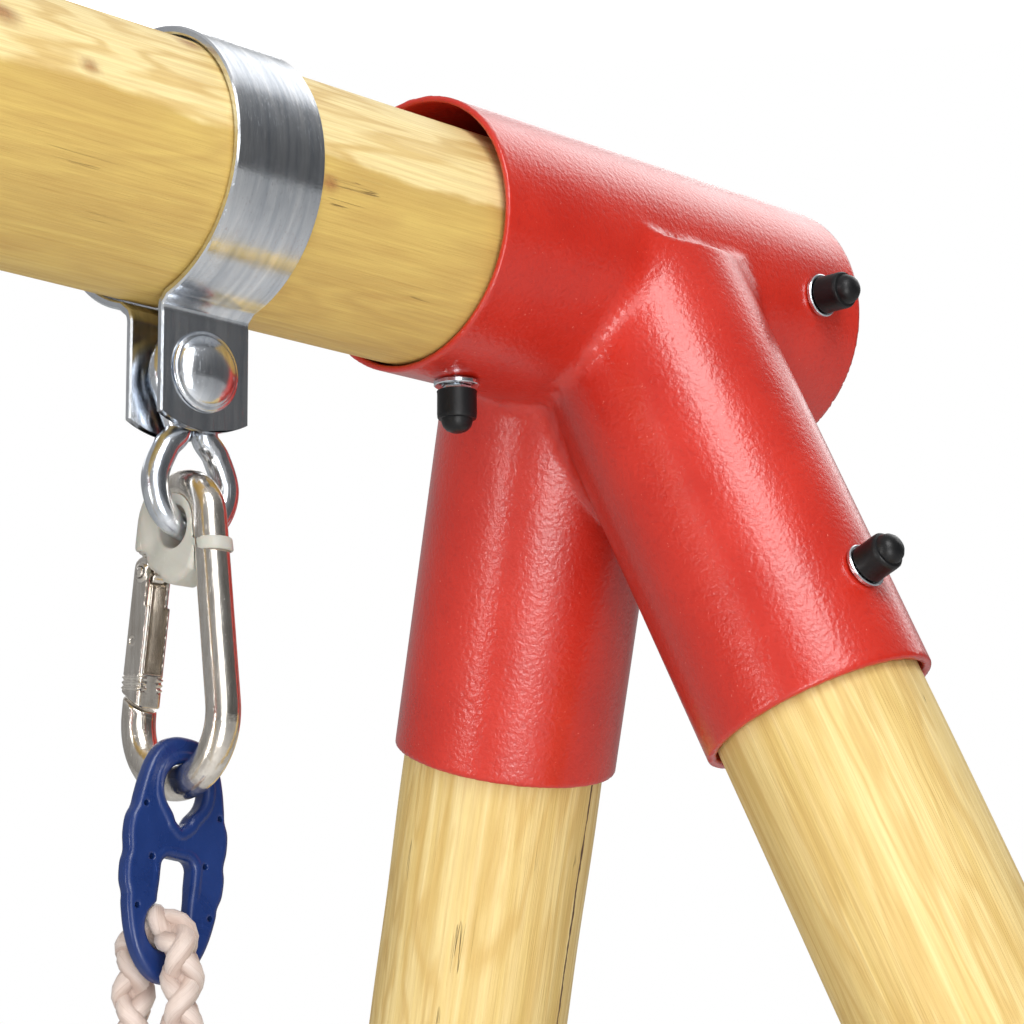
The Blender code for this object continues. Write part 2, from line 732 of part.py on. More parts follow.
def soften(obj, width, segments):
    """Rounds the moulded edges."""
    bevel = obj.modifiers.new("moulded edge", "BEVEL")
    bevel.width = width
    bevel.segments = segments
    bevel.limit_method = "ANGLE"
    bevel.angle_limit = math.radians(60)


def rope_route(x, inboard):
    """From the front knot up through the seat, over the ring's foot and down to the rear knot.

    The rope leans from the ring, which is tilted inboard, to the seat hole straight below the hook.
    """
    top = BEAM_AXIS_HEIGHT - ROPE_TOP_DROP
    foot = SEAT_TOP_HEIGHT - SEAT_THICKNESS - KNOT_DROP + GAP
    over = arc((0, top), ROPE_TOP_RADIUS, 180, 0, 11)
    front = [
        (-SEAT_HOLE_Y, foot),
        (-SEAT_HOLE_Y, SEAT_TOP_HEIGHT),
        (-SEAT_HOLE_Y + 0.0002, SEAT_TOP_HEIGHT + 0.02),
        (-0.0560, SEAT_TOP_HEIGHT + 0.14),
        (-0.0500, SEAT_TOP_HEIGHT + 0.30),
        (-0.0440, SEAT_TOP_HEIGHT + 0.45),
        (-0.0380, SEAT_TOP_HEIGHT + 0.60),
        (-0.0325, SEAT_TOP_HEIGHT + 0.75),
        (-0.0270, SEAT_TOP_HEIGHT + 0.90),
        (-0.0215, SEAT_TOP_HEIGHT + 1.05),
        (-0.0165, SEAT_TOP_HEIGHT + 1.18),
        (-0.0128, top - 0.09),
        (-0.0108, top - 0.03),
    ]
    line = front + over + [(-y, z) for y, z in reversed(front)]
    lean = inboard * ROPE_X_SHIFT / (top - SEAT_TOP_HEIGHT)
    return [Vector((x + lean * min(max(z - SEAT_TOP_HEIGHT, 0), top - SEAT_TOP_HEIGHT), y, z)) for y, z in line]


def make_rope(x, inboard, word):
    bar("rope_" + word, rope_route(x, inboard), ROPE_RADIUS, "rope_fibre")
    height = SEAT_TOP_HEIGHT - SEAT_THICKNESS - KNOT_DROP
    for row, name in ((-1, "front"), (1, "rear")):
        profile = [
            (0, 0),
            (KNOT_RADIUS * 0.62, 0),
            (KNOT_RADIUS * 0.93, -KNOT_HEIGHT * 0.18),
            (KNOT_RADIUS, -KNOT_HEIGHT * 0.42),
            (KNOT_RADIUS * 0.90, -KNOT_HEIGHT * 0.72),
            (KNOT_RADIUS * 0.50, -KNOT_HEIGHT),
            (0, -KNOT_HEIGHT),
        ]
        turned(f"knot_{name}_{word}", profile, (x, row * SEAT_HOLE_Y, height), (0, 0, 1), "rope_fibre", 12)


def make_hangers():
    for side, word in ((1, "right"), (-1, "left")):
        x = side * HANGER_X
        make_band(x, word)
        make_bolt(x, word)
        make_link(x, word)
        make_hook(x, word)
        make_thimble(x, word)
        make_ring(x, -side, word)
        make_rope(x, -side, word)


# ---------------------------------------------------------------- seat


def make_seat():
    """The seat board: a moulded plank with round corners and a hole for each fall of rope."""
    half_x, half_y, corner = SEAT_LENGTH / 2, SEAT_DEPTH / 2, SEAT_CORNER
    outline = []
    for sign_x, sign_y, start in ((1, 1, 0), (-1, 1, 90), (-1, -1, 180), (1, -1, 270)):
        centre = (sign_x * (half_x - corner), sign_y * (half_y - corner))
        outline += arc(centre, corner, start, start + 90, 6)
    holes = [
        [
            (sign_x * HANGER_X + across, sign_y * SEAT_HOLE_Y + deep)
            for across, deep in arc((0, 0), SEAT_HOLE_RADIUS, 0, 337.5, ROUND_SMALL)
        ]
        for sign_x in (1, -1)
        for sign_y in (1, -1)
    ]
    middle = SEAT_TOP_HEIGHT - SEAT_THICKNESS / 2
    seat = plate("seat", outline, SEAT_THICKNESS, Matrix.Translation((0, 0, middle)), "blue_plastic", holes)
    soften(seat, 0.003, 1)


def hang_moving_pieces():
    """Each hanger line turns on its eye link, its gate on its pin and its rope ring on the hook's bottom bend."""
    for side, word in ((1, "right"), (-1, "left")):
        x = side * HANGER_X
        swing = pivot("swing_pivot_" + word, at(x, 0, LINK_BOTTOM_DROP))
        hang(swing, "snap_hook_" + word, "gate_pin_" + word, "thimble_" + word)
        gate = pivot("gate_pivot_" + word, at(x, *hook_side(GATE_PIN_ALONG)), swing)
        hang(gate, "gate_" + word)
        sway = pivot("sway_pivot_" + word, at(x, 0, HOOK_BOTTOM_DROP + HOOK_BOTTOM_RADIUS), swing)
        hang(sway, "rope_ring_" + word, "rope_" + word, "knot_front_" + word, "knot_rear_" + word)
        if side < 0:
            seat = pivot("seat_pivot", (x, 0, SEAT_TOP_HEIGHT - SEAT_THICKNESS / 2), sway)
            hang(seat, "seat")


make_frame()
make_hangers()
make_seat()
hang_moving_pieces()
bpy.context.view_layer.update()
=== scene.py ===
"""Final look of the round-timber swing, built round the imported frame.

The frame: X runs along the crossbeam, Z is up, the ground is at zero. Fields and outlines are worked out
in millimetres from the axis of the bracket's tube, and drops are measured down from it. The right-hand pieces
are made first, and each left-hand piece is its mirror image.
"""

import math

import bpy
import numpy as np
from mathutils import Matrix, Vector


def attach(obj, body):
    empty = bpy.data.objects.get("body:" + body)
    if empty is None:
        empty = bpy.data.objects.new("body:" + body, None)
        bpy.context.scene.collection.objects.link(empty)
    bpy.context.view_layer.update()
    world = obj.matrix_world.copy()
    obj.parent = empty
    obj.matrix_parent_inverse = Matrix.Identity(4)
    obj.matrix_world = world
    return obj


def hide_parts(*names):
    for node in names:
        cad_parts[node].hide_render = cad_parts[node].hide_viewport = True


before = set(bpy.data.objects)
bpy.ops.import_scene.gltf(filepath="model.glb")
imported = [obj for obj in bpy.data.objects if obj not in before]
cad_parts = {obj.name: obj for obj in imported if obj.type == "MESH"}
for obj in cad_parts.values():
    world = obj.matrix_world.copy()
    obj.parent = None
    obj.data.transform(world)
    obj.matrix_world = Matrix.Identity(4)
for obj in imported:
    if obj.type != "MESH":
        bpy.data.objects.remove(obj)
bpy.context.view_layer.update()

MM = 0.001
BEAM_HEIGHT = 2.0  # metres, the axis of the brackets' tubes
HANGER_X = 0.230
JOINT_X = 0.4005
SIDES = ((1, "right"), (-1, "left"))

# Millimetres from here on
BEAM_SETTLE = 2.8
BEAM_RADIUS = 39.4
BEAM_HALF_LENGTH = 491.0
MAIN_RADIUS = 44.45
MAIN_WALL = 2.0
MAIN_ENDS = (-80.9, 92.5)
LEG_TUBE_RADIUS = 38.6
LEG_TUBE_WALL = 3.0
LEG_TUBE_LENGTH = 193.0
LEG_TUBE_TOP = 3.0
LEG_BORE_TOP = -8.0
LEG_JOINT_RISE = 27.2
LEG_SPREAD = math.radians(21.56)
LEG_SPLAY = math.radians(10.07)
LEG_RADIUS = 35.0
LEG_TOP = 93.0
SCREW_UNDER_BEAM = -60.0
SCREW_BESIDE_BEAM = 70.0
SCREW_ALONG_LEG = 161.7
REAR_SCREW_TURN = 0.9

BAND_HALF_WIDTH = 16.5
BAND_THICKNESS = 2.5
BAND_INNER_RADIUS = 39.7
EAR_INNER_FACE = 5.9
EAR_BEND_DROP = 45.6
EAR_DROP = 80.5
EAR_END_RADIUS = 34.0
BOLT_DROP = 63.0
BOLT_RADIUS = 5.0
BOLT_HEAD_RADIUS = 12.0
LINK_RADIUS = 4.0
LINK_UPPER = 11.0
LINK_LOWER = 13.1
LINK_BOTTOM_DROP = 108.4
LINK_SHIFT = (1.2, -1.2)
HOOK_RADIUS = 5.0
HOOK_TOP_RADIUS = 11.5
HOOK_TOP_DROP = 107.2
HOOK_BOTTOM_RADIUS = 19.5
HOOK_BOTTOM_DROP = 162.5
HOOK_BEND_RADIUS = 18.9
HOOK_BEND_SHIFT = 0.5  # towards the gate
GATE_PIN_ALONG = 14.0
GATE_END = 37.2
RING_PIVOT_DROP = 182.0
RING_TILT = math.radians(6)
RING_THICKNESS = 6.5
RING_NARROWER = 0.93
ROPE_TOP_RADIUS = 10.6
ROPE_TOP_DROP = 232.0
ROPE_X_SHIFT = 7.2
SEAT_TOP = 430.0
SEAT_THICKNESS = 24.0
SEAT_HOLE_Y = 60.0
KNOT_DROP = 2.0
NO_CRACK = (200, 0, 1)
LOG_SIDES = 128
LOG_FINE_STEP = 1.6
LOG_COARSE_STEP = 6.0
SCREW_HOLE_RADIUS = 3.7
CHEEK_HALF_WIDTH = 4.45
CHEEK_RADIUS = 4.6
RING_EYE_RADIUS = 7.3
RING_SLOT_RADIUS = 2.8
STRAND_PITCH = 27.0
STRAND_REACH = 3.0
STRAND_SWAY = 0.85
STRAND_HALF_WIDTH = 3.05
STRAND_HALF_DEPTH = 2.5
ROPE_CORE_RADIUS = 2.9
KNOT_SCALE = 0.72
SEAT_CORNER = (210, 50)
SEAT_CORNER_RADIUS = 40
LENS = 105.47
SKIN_PASSES = 2
FLOOR_HALF = 40.0  # metres


# ---- shader helpers


def add(kind, inputs=(), tree=None, **settings):
    """A shader node; an input is a value, or a socket that feeds it and whose tree it joins."""
    inputs = dict(inputs)
    sockets = [key for key, value in inputs.items() if isinstance(value, bpy.types.NodeSocket)]
    tree = tree or inputs[sockets[0]].id_data
    node = tree.nodes.new(kind)
    for key, value in settings.items():
        setattr(node, key, value)
    for key, value in inputs.items():
        if key in sockets:
            tree.links.new(value, node.inputs[key])
        else:
            node.inputs[key].default_value = value
    return node


def maths(operation, first, second=0.0):
    return add("ShaderNodeMath", {0: first, 1: second}, operation=operation).outputs[0]


def times(first, second):
    return maths("MULTIPLY", first, second)


def plus(first, second):
    return maths("ADD", first, second)


def distance_from(value, middle):
    return maths("ABSOLUTE", maths("SUBTRACT", value, middle))


def noise(vector, scale, detail, roughness, distortion=0.0):
    values = {
        "Vector": vector, "Scale": scale, "Detail": detail, "Roughness": roughness, "Distortion": distortion
    }
    return add("ShaderNodeTexNoise", values).outputs["Fac"]


def streaks(vector, scales, detail, roughness, distortion=0.0, scale=1.0):
    """Noise with a scale of its own along each axis."""
    drawn_out = add("ShaderNodeMapping", {"Vector": vector, "Scale": scales}).outputs[0]
    return noise(drawn_out, scale, detail, roughness, distortion)


def ramp(factor, low, high, out_low=0.0, out_high=1.0):
    values = {"Value": factor, "From Min": low, "From Max": high, "To Min": out_low, "To Max": out_high}
    return add("ShaderNodeMapRange", values).outputs[0]


def mixed(factor, *colours):
    """A colour between two, each a socket or (red, green, blue)."""
    first, second = [
        colour if isinstance(colour, bpy.types.NodeSocket) else (*colour, 1.0) for colour in colours
    ]
    return add("ShaderNodeMix", {0: factor, 6: first, 7: second}, data_type="RGBA").outputs[2]


def bump(height, distance, strength):
    values = {"Height": height, "Distance": distance, "Strength": strength}
    return add("ShaderNodeBump", values).outputs[0]


def new_material(name, **inputs):
    material = bpy.data.materials.new(name)
    material.use_nodes = True
    shader = material.node_tree.nodes["Principled BSDF"]
    for key, value in inputs.items():
        shader.inputs[key.replace("_", " ")].default_value = value
    return material, shader


def connect(shader, **sockets):
    for key, socket in sockets.items():
        shader.id_data.links.new(socket, shader.inputs[key.replace("_", " ")])


def place_of(shader):
    return add("ShaderNodeTexCoord", tree=shader.id_data).outputs["Object"]


def stored(shader, name, output="Vector"):
    """What a piece stores under a name. Its grain is metres along it, round its girth, and up its side."""
    return add("ShaderNodeAttribute", tree=shader.id_data, attribute_name=name).outputs[output]


# ---- materials


def pine(name, pale_everywhere):
    """Peeled pine: long streaks, wandering growth lines, small knots and drying cracks. Unless
    pale_everywhere, the top is painted cream and the sides tan: painted light from above.
    """
    material, shader = new_material(name, Roughness=0.52)
    grain = stored(shader, "grain")
    split = add("ShaderNodeSeparateXYZ", {"Vector": grain})
    wander = streaks(grain, (4.0, 24.0, 24.0), 4.0, 0.5, 0.4)
    fine = streaks(grain, (22.0, 900.0, 900.0), 4.0, 0.65)
    fibre = streaks(grain, (60.0, 2600.0, 2600.0), 2.0, 0.6)
    bands = streaks(grain, (3.0, 160.0, 160.0), 3.0, 0.6, 0.5)
    figure = ramp(distance_from(maths("FRACT", times(wander, 12.0)), 0.5), 0.06, 0.42)
    edge = streaks(grain, (16.0, 120.0, 0.0), 5.0, 0.62)
    height = plus(split.outputs["Z"], times(edge, 0.012))
    # Painted light: on the crossbeam the cream top and tan sides follow the height up the log's side, a
    # painted highlight from above; on the legs the two tones follow random bands instead.
    if pale_everywhere:
        painted_top_light_and_band_tone = ramp(plus(bands, times(edge, 0.5)), 0.45, 0.95)
    else:
        painted_top_light_and_band_tone = ramp(height, 0.0078, 0.0102)
    tan = mixed(bands, (0.530, 0.320, 0.060), (0.740, 0.540, 0.135))
    tan = mixed(times(figure, 0.60), (0.470, 0.270, 0.055), tan)
    tan = mixed(0.35, tan, (0.860, 0.680, 0.240))
    cream = mixed(bands, (0.850, 0.650, 0.260), (0.930, 0.790, 0.430))
    cream = mixed(ramp(figure, 0.0, 0.55), (0.640, 0.415, 0.125), cream)
    cream = mixed(0.35, cream, (0.900, 0.740, 0.360))
    wood = mixed(painted_top_light_and_band_tone, tan, cream)
    wood = mixed(ramp(fine, 0.35, 0.62, 0.30, 0.0), wood, (0.42, 0.21, 0.05))
    if pale_everywhere:
        wood = mixed(0.24, wood, (0.60, 0.40, 0.12))
    patches = streaks(grain, (14.0, 55.0, 55.0), 3.0, 0.55)
    wood = mixed(ramp(patches, 0.62, 0.74, 0.0, 0.30), wood, (0.43, 0.20, 0.055))
    knots = stored(shader, "knot", "Fac")
    swirl = streaks(grain, (900.0, 900.0, 900.0), 3.0, 0.6)
    knot_colour = mixed(swirl, (0.16, 0.055, 0.018), (0.52, 0.23, 0.07))
    wood = mixed(times(knots, 0.85), wood, knot_colour)
    crack_lines = streaks(grain, (7.0, 330.0, 330.0), 2.0, 0.4)
    where = streaks(grain, (11.0, 42.0, 42.0), 2.0, 0.5, scale=2.2)
    hair = times(ramp(distance_from(crack_lines, 0.5), 0.0, 0.007, 1.0, 0.0), ramp(where, 0.66, 0.72))
    cracks = maths("MAXIMUM", times(hair, 0.75), crack_mask(shader))
    wood = mixed(cracks, wood, (0.10, 0.038, 0.012))
    relief = plus(plus(times(fine, 0.7), times(fibre, 0.4)), times(bands, 0.9))
    relief = maths("SUBTRACT", relief, times(cracks, 2.5))
    rough = ramp(fine, 0.2, 0.8, 0.66, 0.42)
    connect(shader, Base_Color=wood, Roughness=rough, Normal=bump(relief, 0.00055, 0.8))
    return material


def crack_mask(shader):
    """One long drying crack, at the girth that a log stores in its crack attribute."""
    line = stored(shader, "crack")
    parts = add("ShaderNodeSeparateXYZ", {"Vector": line})
    wobble = streaks(line, (38.0, 0.0, 0.0), 4.0, 0.6)
    offset = plus(parts.outputs["Y"], ramp(wobble, 0.0, 1.0, -0.0016, 0.0016))
    width = streaks(line, (90.0, 0.0, 0.0), 3.0, 0.6)
    half_width = ramp(width, 0.35, 0.65, 0.0002, 0.0009)
    near = maths("DIVIDE", maths("ABSOLUTE", offset), half_width)
    return times(ramp(near, 0.7, 1.1, 1.0, 0.0), parts.outputs["Z"])


def end_grain():
    material, shader = new_material("pine_end_grain", Roughness=0.75)
    place = place_of(shader)
    values = {"Vector": place, "Scale": 95.0, "Distortion": 1.5, "Detail": 3.0}
    rings = add("ShaderNodeTexWave", values, wave_type="RINGS", rings_direction="X").outputs["Fac"]
    speckle = noise(place, 1500.0, 3.0, 0.6)
    wood = mixed(rings, (0.62, 0.36, 0.12), (0.84, 0.60, 0.28))
    wood = mixed(ramp(speckle, 0.4, 0.7, 0.0, 0.35), wood, (0.40, 0.20, 0.06))
    connect(shader, Base_Color=wood, Normal=bump(speckle, 0.0004, 0.6))
    return material


def red_powder_coat():
    """Textured powder coat: orange peel, faint cloudiness and a few small painted pink highlight specks."""
    material, shader = new_material(
        "red_powder_coat", Roughness=0.30, Specular_IOR_Level=0.5, Coat_Weight=0.45, Coat_Roughness=0.13
    )
    place = place_of(shader)
    peel = noise(place, 640.0, 3.0, 0.5, 0.2)
    grit = noise(place, 2400.0, 2.0, 0.5)
    cloud = noise(place, 34.0, 4.0, 0.55)
    colour = mixed(ramp(cloud, 0.3, 0.7), (0.47, 0.016, 0.007), (0.56, 0.023, 0.010))
    colour = mixed(ramp(peel, 0.30, 0.46, 0.30, 0.0), colour, (0.36, 0.010, 0.006))
    # Small pink specks in the sheen's colour: painted highlight glints on the orange peel.
    painted_glints = ramp(noise(place, 950.0, 1.0, 0.4), 0.76, 0.80, 0.0, 0.5)
    colour = mixed(painted_glints, colour, (0.78, 0.22, 0.17))
    normal = bump(plus(peel, times(grit, 0.22)), 0.00028, 0.75)
    connect(
        shader, Base_Color=colour, Roughness=ramp(cloud, 0.3, 0.7, 0.27, 0.36),
        Normal=normal, Coat_Normal=bump(peel, 0.00026, 0.8),
    )
    return material


def plated_steel(name, tint, dark, rough, drawn_scales):
    """Plated steel: soft drawn streaks, small pits, dull patches and fine scratches."""
    material, shader = new_material(name, Metallic=1.0, Roughness=rough)
    place = place_of(shader)
    drawn = streaks(place, drawn_scales, 4.0, 0.62)
    patch = noise(place, 120.0, 4.0, 0.6)
    pits = noise(place, 1500.0, 2.0, 0.5)
    scratch = streaks(place, (2600.0, 2600.0, 90.0), 2.0, 0.5, 0.6)
    lines = ramp(scratch, 0.66, 0.70)
    colour = mixed(ramp(drawn, 0.32, 0.70), dark, tint)
    colour = mixed(ramp(patch, 0.52, 0.72, 0.0, 0.45), colour, dark)
    colour = mixed(times(lines, 0.25), colour, (0.22, 0.21, 0.20))
    roughness = ramp(patch, 0.3, 0.7, rough * 0.75, rough * 1.5)
    height = plus(times(drawn, 0.8), times(pits, 0.25))
    height = maths("SUBTRACT", height, times(lines, 0.3))
    connect(shader, Base_Color=colour, Roughness=roughness, Normal=bump(height, 0.00010, 0.5))
    return material


def moulded_plastic(name, colour, lighter, rough, **inputs):
    """Moulded plastic: a fine mould texture, faint flow marks and scuffs."""
    material, shader = new_material(name, Roughness=rough, **inputs)
    place = place_of(shader)
    flow = noise(place, 60.0, 4.0, 0.55, 0.8)
    grit = noise(place, 900.0, 2.0, 0.5)
    scuff = streaks(place, (1200.0, 1200.0, 140.0), 3.0, 0.6, 0.7)
    body = mixed(ramp(flow, 0.3, 0.7), colour, lighter)
    worn = tuple(min(1.0, part * 1.9 + 0.03) for part in lighter)
    body = mixed(ramp(scuff, 0.68, 0.74, 0.0, 0.45), body, worn)
    roughness = ramp(flow, 0.3, 0.7, rough * 0.85, rough * 1.2)
    height = plus(times(grit, 0.5), times(flow, 0.8))
    connect(shader, Base_Color=body, Roughness=roughness, Normal=bump(height, 0.00018, 0.6))
    return material


def rope_fibre():
    """Silky braid: fine filaments that run along each strand, and painted shade that darkens each strand
    towards its edges, where strands meet.
    """
    sheen = {"Sheen_Weight": 0.35, "Sheen_Roughness": 0.4}
    material, shader = new_material("rope_fibre", Roughness=0.40, **sheen)
    grain = stored(shader, "grain")
    fibre = streaks(grain, (170.0, 9000.0, 400.0), 3.0, 0.6, 0.3)
    clump = streaks(grain, (70.0, 3200.0, 400.0), 3.0, 0.6)
    tone = streaks(grain, (55.0, 300.0, 400.0), 3.0, 0.55)
    colour = mixed(fibre, (0.46, 0.34, 0.29), (0.82, 0.73, 0.67))
    colour = mixed(ramp(tone, 0.35, 0.65, 0.0, 0.45), colour, (0.70, 0.55, 0.47))
    colour = mixed(ramp(clump, 0.30, 0.44, 0.45, 0.0), colour, (0.30, 0.19, 0.15))
    girth = add("ShaderNodeSeparateXYZ", {"Vector": grain}).outputs["Y"]
    # Painted shade: each strand darkens towards its edges, standing in for the shade where strands meet.
    painted_strand_shade = ramp(maths("ABSOLUTE", girth), 0.0014, 0.0031, 0.0, 0.62)
    colour = mixed(painted_strand_shade, colour, (0.34, 0.22, 0.17))
    height = plus(fibre, times(clump, 1.2))
    connect(shader, Base_Color=colour, Normal=bump(height, 0.00016, 0.8))
    return material


MATERIALS = {
    "pine": pine("pine", False),
    "pine_leg": pine("pine_leg", True),
    "end_grain": end_grain(),
    "red_powder_coat": red_powder_coat(),
    "zinc_plated_steel": plated_steel(
        "zinc_plated_steel", (0.86, 0.88, 0.91), (0.52, 0.56, 0.62), 0.17, (300.0, 26.0, 26.0)
    ),
    "nickel_plated_steel": plated_steel(
        "nickel_plated_steel", (0.84, 0.80, 0.74), (0.60, 0.55, 0.49), 0.17, (420.0, 420.0, 60.0)
    ),
    "black_plastic": moulded_plastic(
        "black_plastic", (0.0025, 0.0025, 0.0027), (0.006, 0.006, 0.007), 0.38, Specular_IOR_Level=0.35
    ),
    "white_nylon": moulded_plastic(
        "white_nylon", (0.40, 0.39, 0.345), (0.50, 0.49, 0.44), 0.42,
        Subsurface_Weight=0.25, Subsurface_Scale=0.003,
    ),
    "blue_plastic": moulded_plastic("blue_plastic", (0.005, 0.022, 0.115), (0.009, 0.032, 0.150), 0.28),
    "rope_fibre": rope_fibre(),
}


# ---- mesh helpers


def placed(name, data):
    obj = bpy.data.objects.new(name, data)
    bpy.context.scene.collection.objects.link(obj)
    return obj


def mesh_piece(name, points, faces, material, body, nodes, extra=()):
    """A piece from points in metres that rides on a body and stands for CAD nodes."""
    mesh = bpy.data.meshes.new(name)
    mesh.from_pydata([tuple(point) for point in points], [], [tuple(face) for face in faces])
    mesh.materials.append(MATERIALS[material])
    for key in extra:
        mesh.materials.append(MATERIALS[key])
    mesh.shade_smooth()
    obj = placed(name, mesh)
    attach(obj, body)
    if nodes:
        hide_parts(*nodes)
    return obj


def around(count):
    return np.linspace(0, 2 * math.pi, count, endpoint=False)


def unit(vectors):
    return vectors / np.linalg.norm(vectors, axis=-1, keepdims=True)


def to_world(points, origin_x):
    """Millimetres from a point on the tube's axis to metres in the frame."""
    out = np.array(points, float) * MM
    out[:, 0] += origin_x
    out[:, 2] += BEAM_HEIGHT
    return out


def mirrored(points, faces, side):
    if side > 0:
        return points, faces
    turned = np.array(points, float)
    turned[:, 0] *= -1
    return turned, [tuple(face)[::-1] for face in faces]


def pair(stem, shape, origin_x, material, body, sharp=None):
    """The right-hand piece and its mirror image, from (points in millimetres, faces)."""
    made = []
    for side, word in SIDES:
        where, loops = mirrored(to_world(shape[0], origin_x), shape[1], side)
        name = f"{stem}_shape_{word}"
        obj = mesh_piece(name, where, loops, material, body.format(word), [f"{stem}_{word}"])
        if sharp:
            obj.data.set_sharp_from_angle(angle=math.radians(sharp))
        made.append(obj)
    return made


def store(obj, name, values):
    """Keeps one vector, or one number, for each point of a mesh, for its shader to read."""
    values = np.asarray(values, float)
    kind = "FLOAT_VECTOR" if values.ndim == 2 else "FLOAT"
    attribute = obj.data.attributes.new(name, kind, "POINT")
    attribute.data.foreach_set("vector" if values.ndim == 2 else "value", values.ravel())


def grid_faces(rows, columns, closed_rows=False, first=0):
    """Quads over a grid of points stored row by row."""
    faces = []
    for i in range(rows if closed_rows else rows - 1):
        low, high = first + i * columns, first + (i + 1) % rows * columns
        for j in range(columns):
            k = (j + 1) % columns
            faces.append((low + j, low + k, high + k, high + j))
    return faces


def frames_along(path, side_axis):
    """Two normals at each point of a path; the first keeps to side_axis."""
    tangent = unit(np.gradient(path, axis=0))
    first = unit(np.array(side_axis) - tangent * (tangent @ np.array(side_axis))[:, None])
    return first, np.cross(tangent, first)


def tube(path, radius, sides, closed=False, side_axis=(0.0, 1.0, 0.0)):
    path = np.asarray(path, float)
    if closed:
        longer = np.vstack([path[-1:], path, path[:1]])
        first, second = (item[1:-1] for item in frames_along(longer, side_axis))
    else:
        first, second = frames_along(path, side_axis)
    turn = around(sides)
    ring = first[:, None] * np.cos(turn)[None, :, None] + second[:, None] * np.sin(turn)[None, :, None]
    points = (path[:, None] + ring * radius).reshape(-1, 3)
    faces = grid_faces(len(path), sides, closed_rows=closed)
    if not closed:
        faces += [tuple(range(sides))[::-1], tuple(range(len(points) - sides, len(points)))]
    return points, faces


def lathe(profile, origin, axis, steps):
    """A turned shape from (radius, height) points that start and end on the axis or close on themselves."""
    axis = unit(np.array(axis, float))
    first = unit(np.cross(axis, (0.0, 0.0, 1.0) if abs(axis[2]) < 0.9 else (1.0, 0.0, 0.0)))
    second = np.cross(axis, first)
    turn = around(steps)
    circle = np.cos(turn)[:, None] * first + np.sin(turn)[:, None] * second
    rings = [np.array(origin) + circle * radius + axis * height for radius, height in profile]
    return np.concatenate(rings), grid_faces(len(profile), steps, closed_rows=True)


def smooth_through(points, per_span, closed=False):
    """Points along a Catmull-Rom curve through the given ones."""
    points = np.asarray(points, float)
    count = len(points)
    out = []
    for i in range(count if closed else count - 1):
        near = [(i + k) % count if closed else min(max(i + k, 0), count - 1) for k in (-1, 0, 1, 2)]
        a, b, c, d = points[near]
        for step in range(per_span):
            t = step / per_span
            cubic = (2 * a - 5 * b + 4 * c - d) * t**2 + (3 * b - 3 * c + d - a) * t**3
            out.append(0.5 * (2 * b + (c - a) * t + cubic))
    if not closed:
        out.append(points[-1])
    return np.array(out)


def both_halves(half):
    """A loop that closes on its own mirror image, from the half with its first coordinate above zero."""
    return half + [(-across, along) for across, along in half[-2:0:-1]]


def arc(centre, radius, start, end, count):
    turn = np.radians(np.linspace(start, end, count))
    return [(centre[0] + radius * math.cos(a), centre[1] + radius * math.sin(a)) for a in turn]


# ---- solids from distance fields


def smooth_min(a, b, size):
    blend = np.maximum(size - np.abs(a - b), 0) / size
    return np.minimum(a, b) - blend * blend * size / 4


def smooth_max(a, b, size):
    return -smooth_min(-a, -b, size)


def rod_field(points, start, direction, radius):
    """Distance to an endless rod, and how far along it each point is."""
    offset = points - np.array(start)
    along = offset @ np.array(direction)
    return np.linalg.norm(offset - along[..., None] * np.array(direction), axis=-1) - radius, along


def path_field(points, path, radius):
    """Distance to a bar bent along a path."""
    best = np.full(points.shape[:-1], 1e9)
    for a, b in zip(path[:-1], path[1:]):
        step = b - a
        t = np.clip((points - a) @ step / (step @ step), 0, 1)
        best = np.minimum(best, np.linalg.norm(points - a - t[..., None] * step, axis=-1))
    return best - radius


def outline_field(across, up, outline):
    """Signed distance to a closed flat outline."""
    outline = np.asarray(outline, float)
    best = np.full(across.shape, 1e9)
    inside = np.zeros(across.shape, bool)
    for (ax, ay), (bx, by) in zip(outline, np.roll(outline, -1, axis=0)):
        ex, ey = bx - ax, by - ay
        t = np.clip(((across - ax) * ex + (up - ay) * ey) / (ex * ex + ey * ey), 0, 1)
        best = np.minimum(best, np.hypot(across - ax - t * ex, up - ay - t * ey))
        if ey != 0:
            crosses = (ay > up) != (by > up)
            inside ^= crosses & (across < ax + (up - ay) / ey * ex)
    return np.where(inside, -best, best)


def plate_field(flat, depth, half_thickness, rounding):
    """A flat field given a thickness, with rounded edges."""
    a, b = flat + rounding, np.abs(depth) - half_thickness + rounding
    return np.minimum(np.maximum(a, b), 0) + np.hypot(np.maximum(a, 0), np.maximum(b, 0)) - rounding


def sampled(field, low, high, step):
    axes = [np.arange(start - step, end + 2 * step, step) for start, end in zip(low, high)]
    values = np.empty([len(axis) for axis in axes])
    y, z = np.meshgrid(axes[1], axes[2], indexing="ij")
    for i, x in enumerate(axes[0]):
        values[i] = field(np.stack([np.full(y.shape, x), y, z], axis=-1))
    return values, np.array([axis[0] for axis in axes])


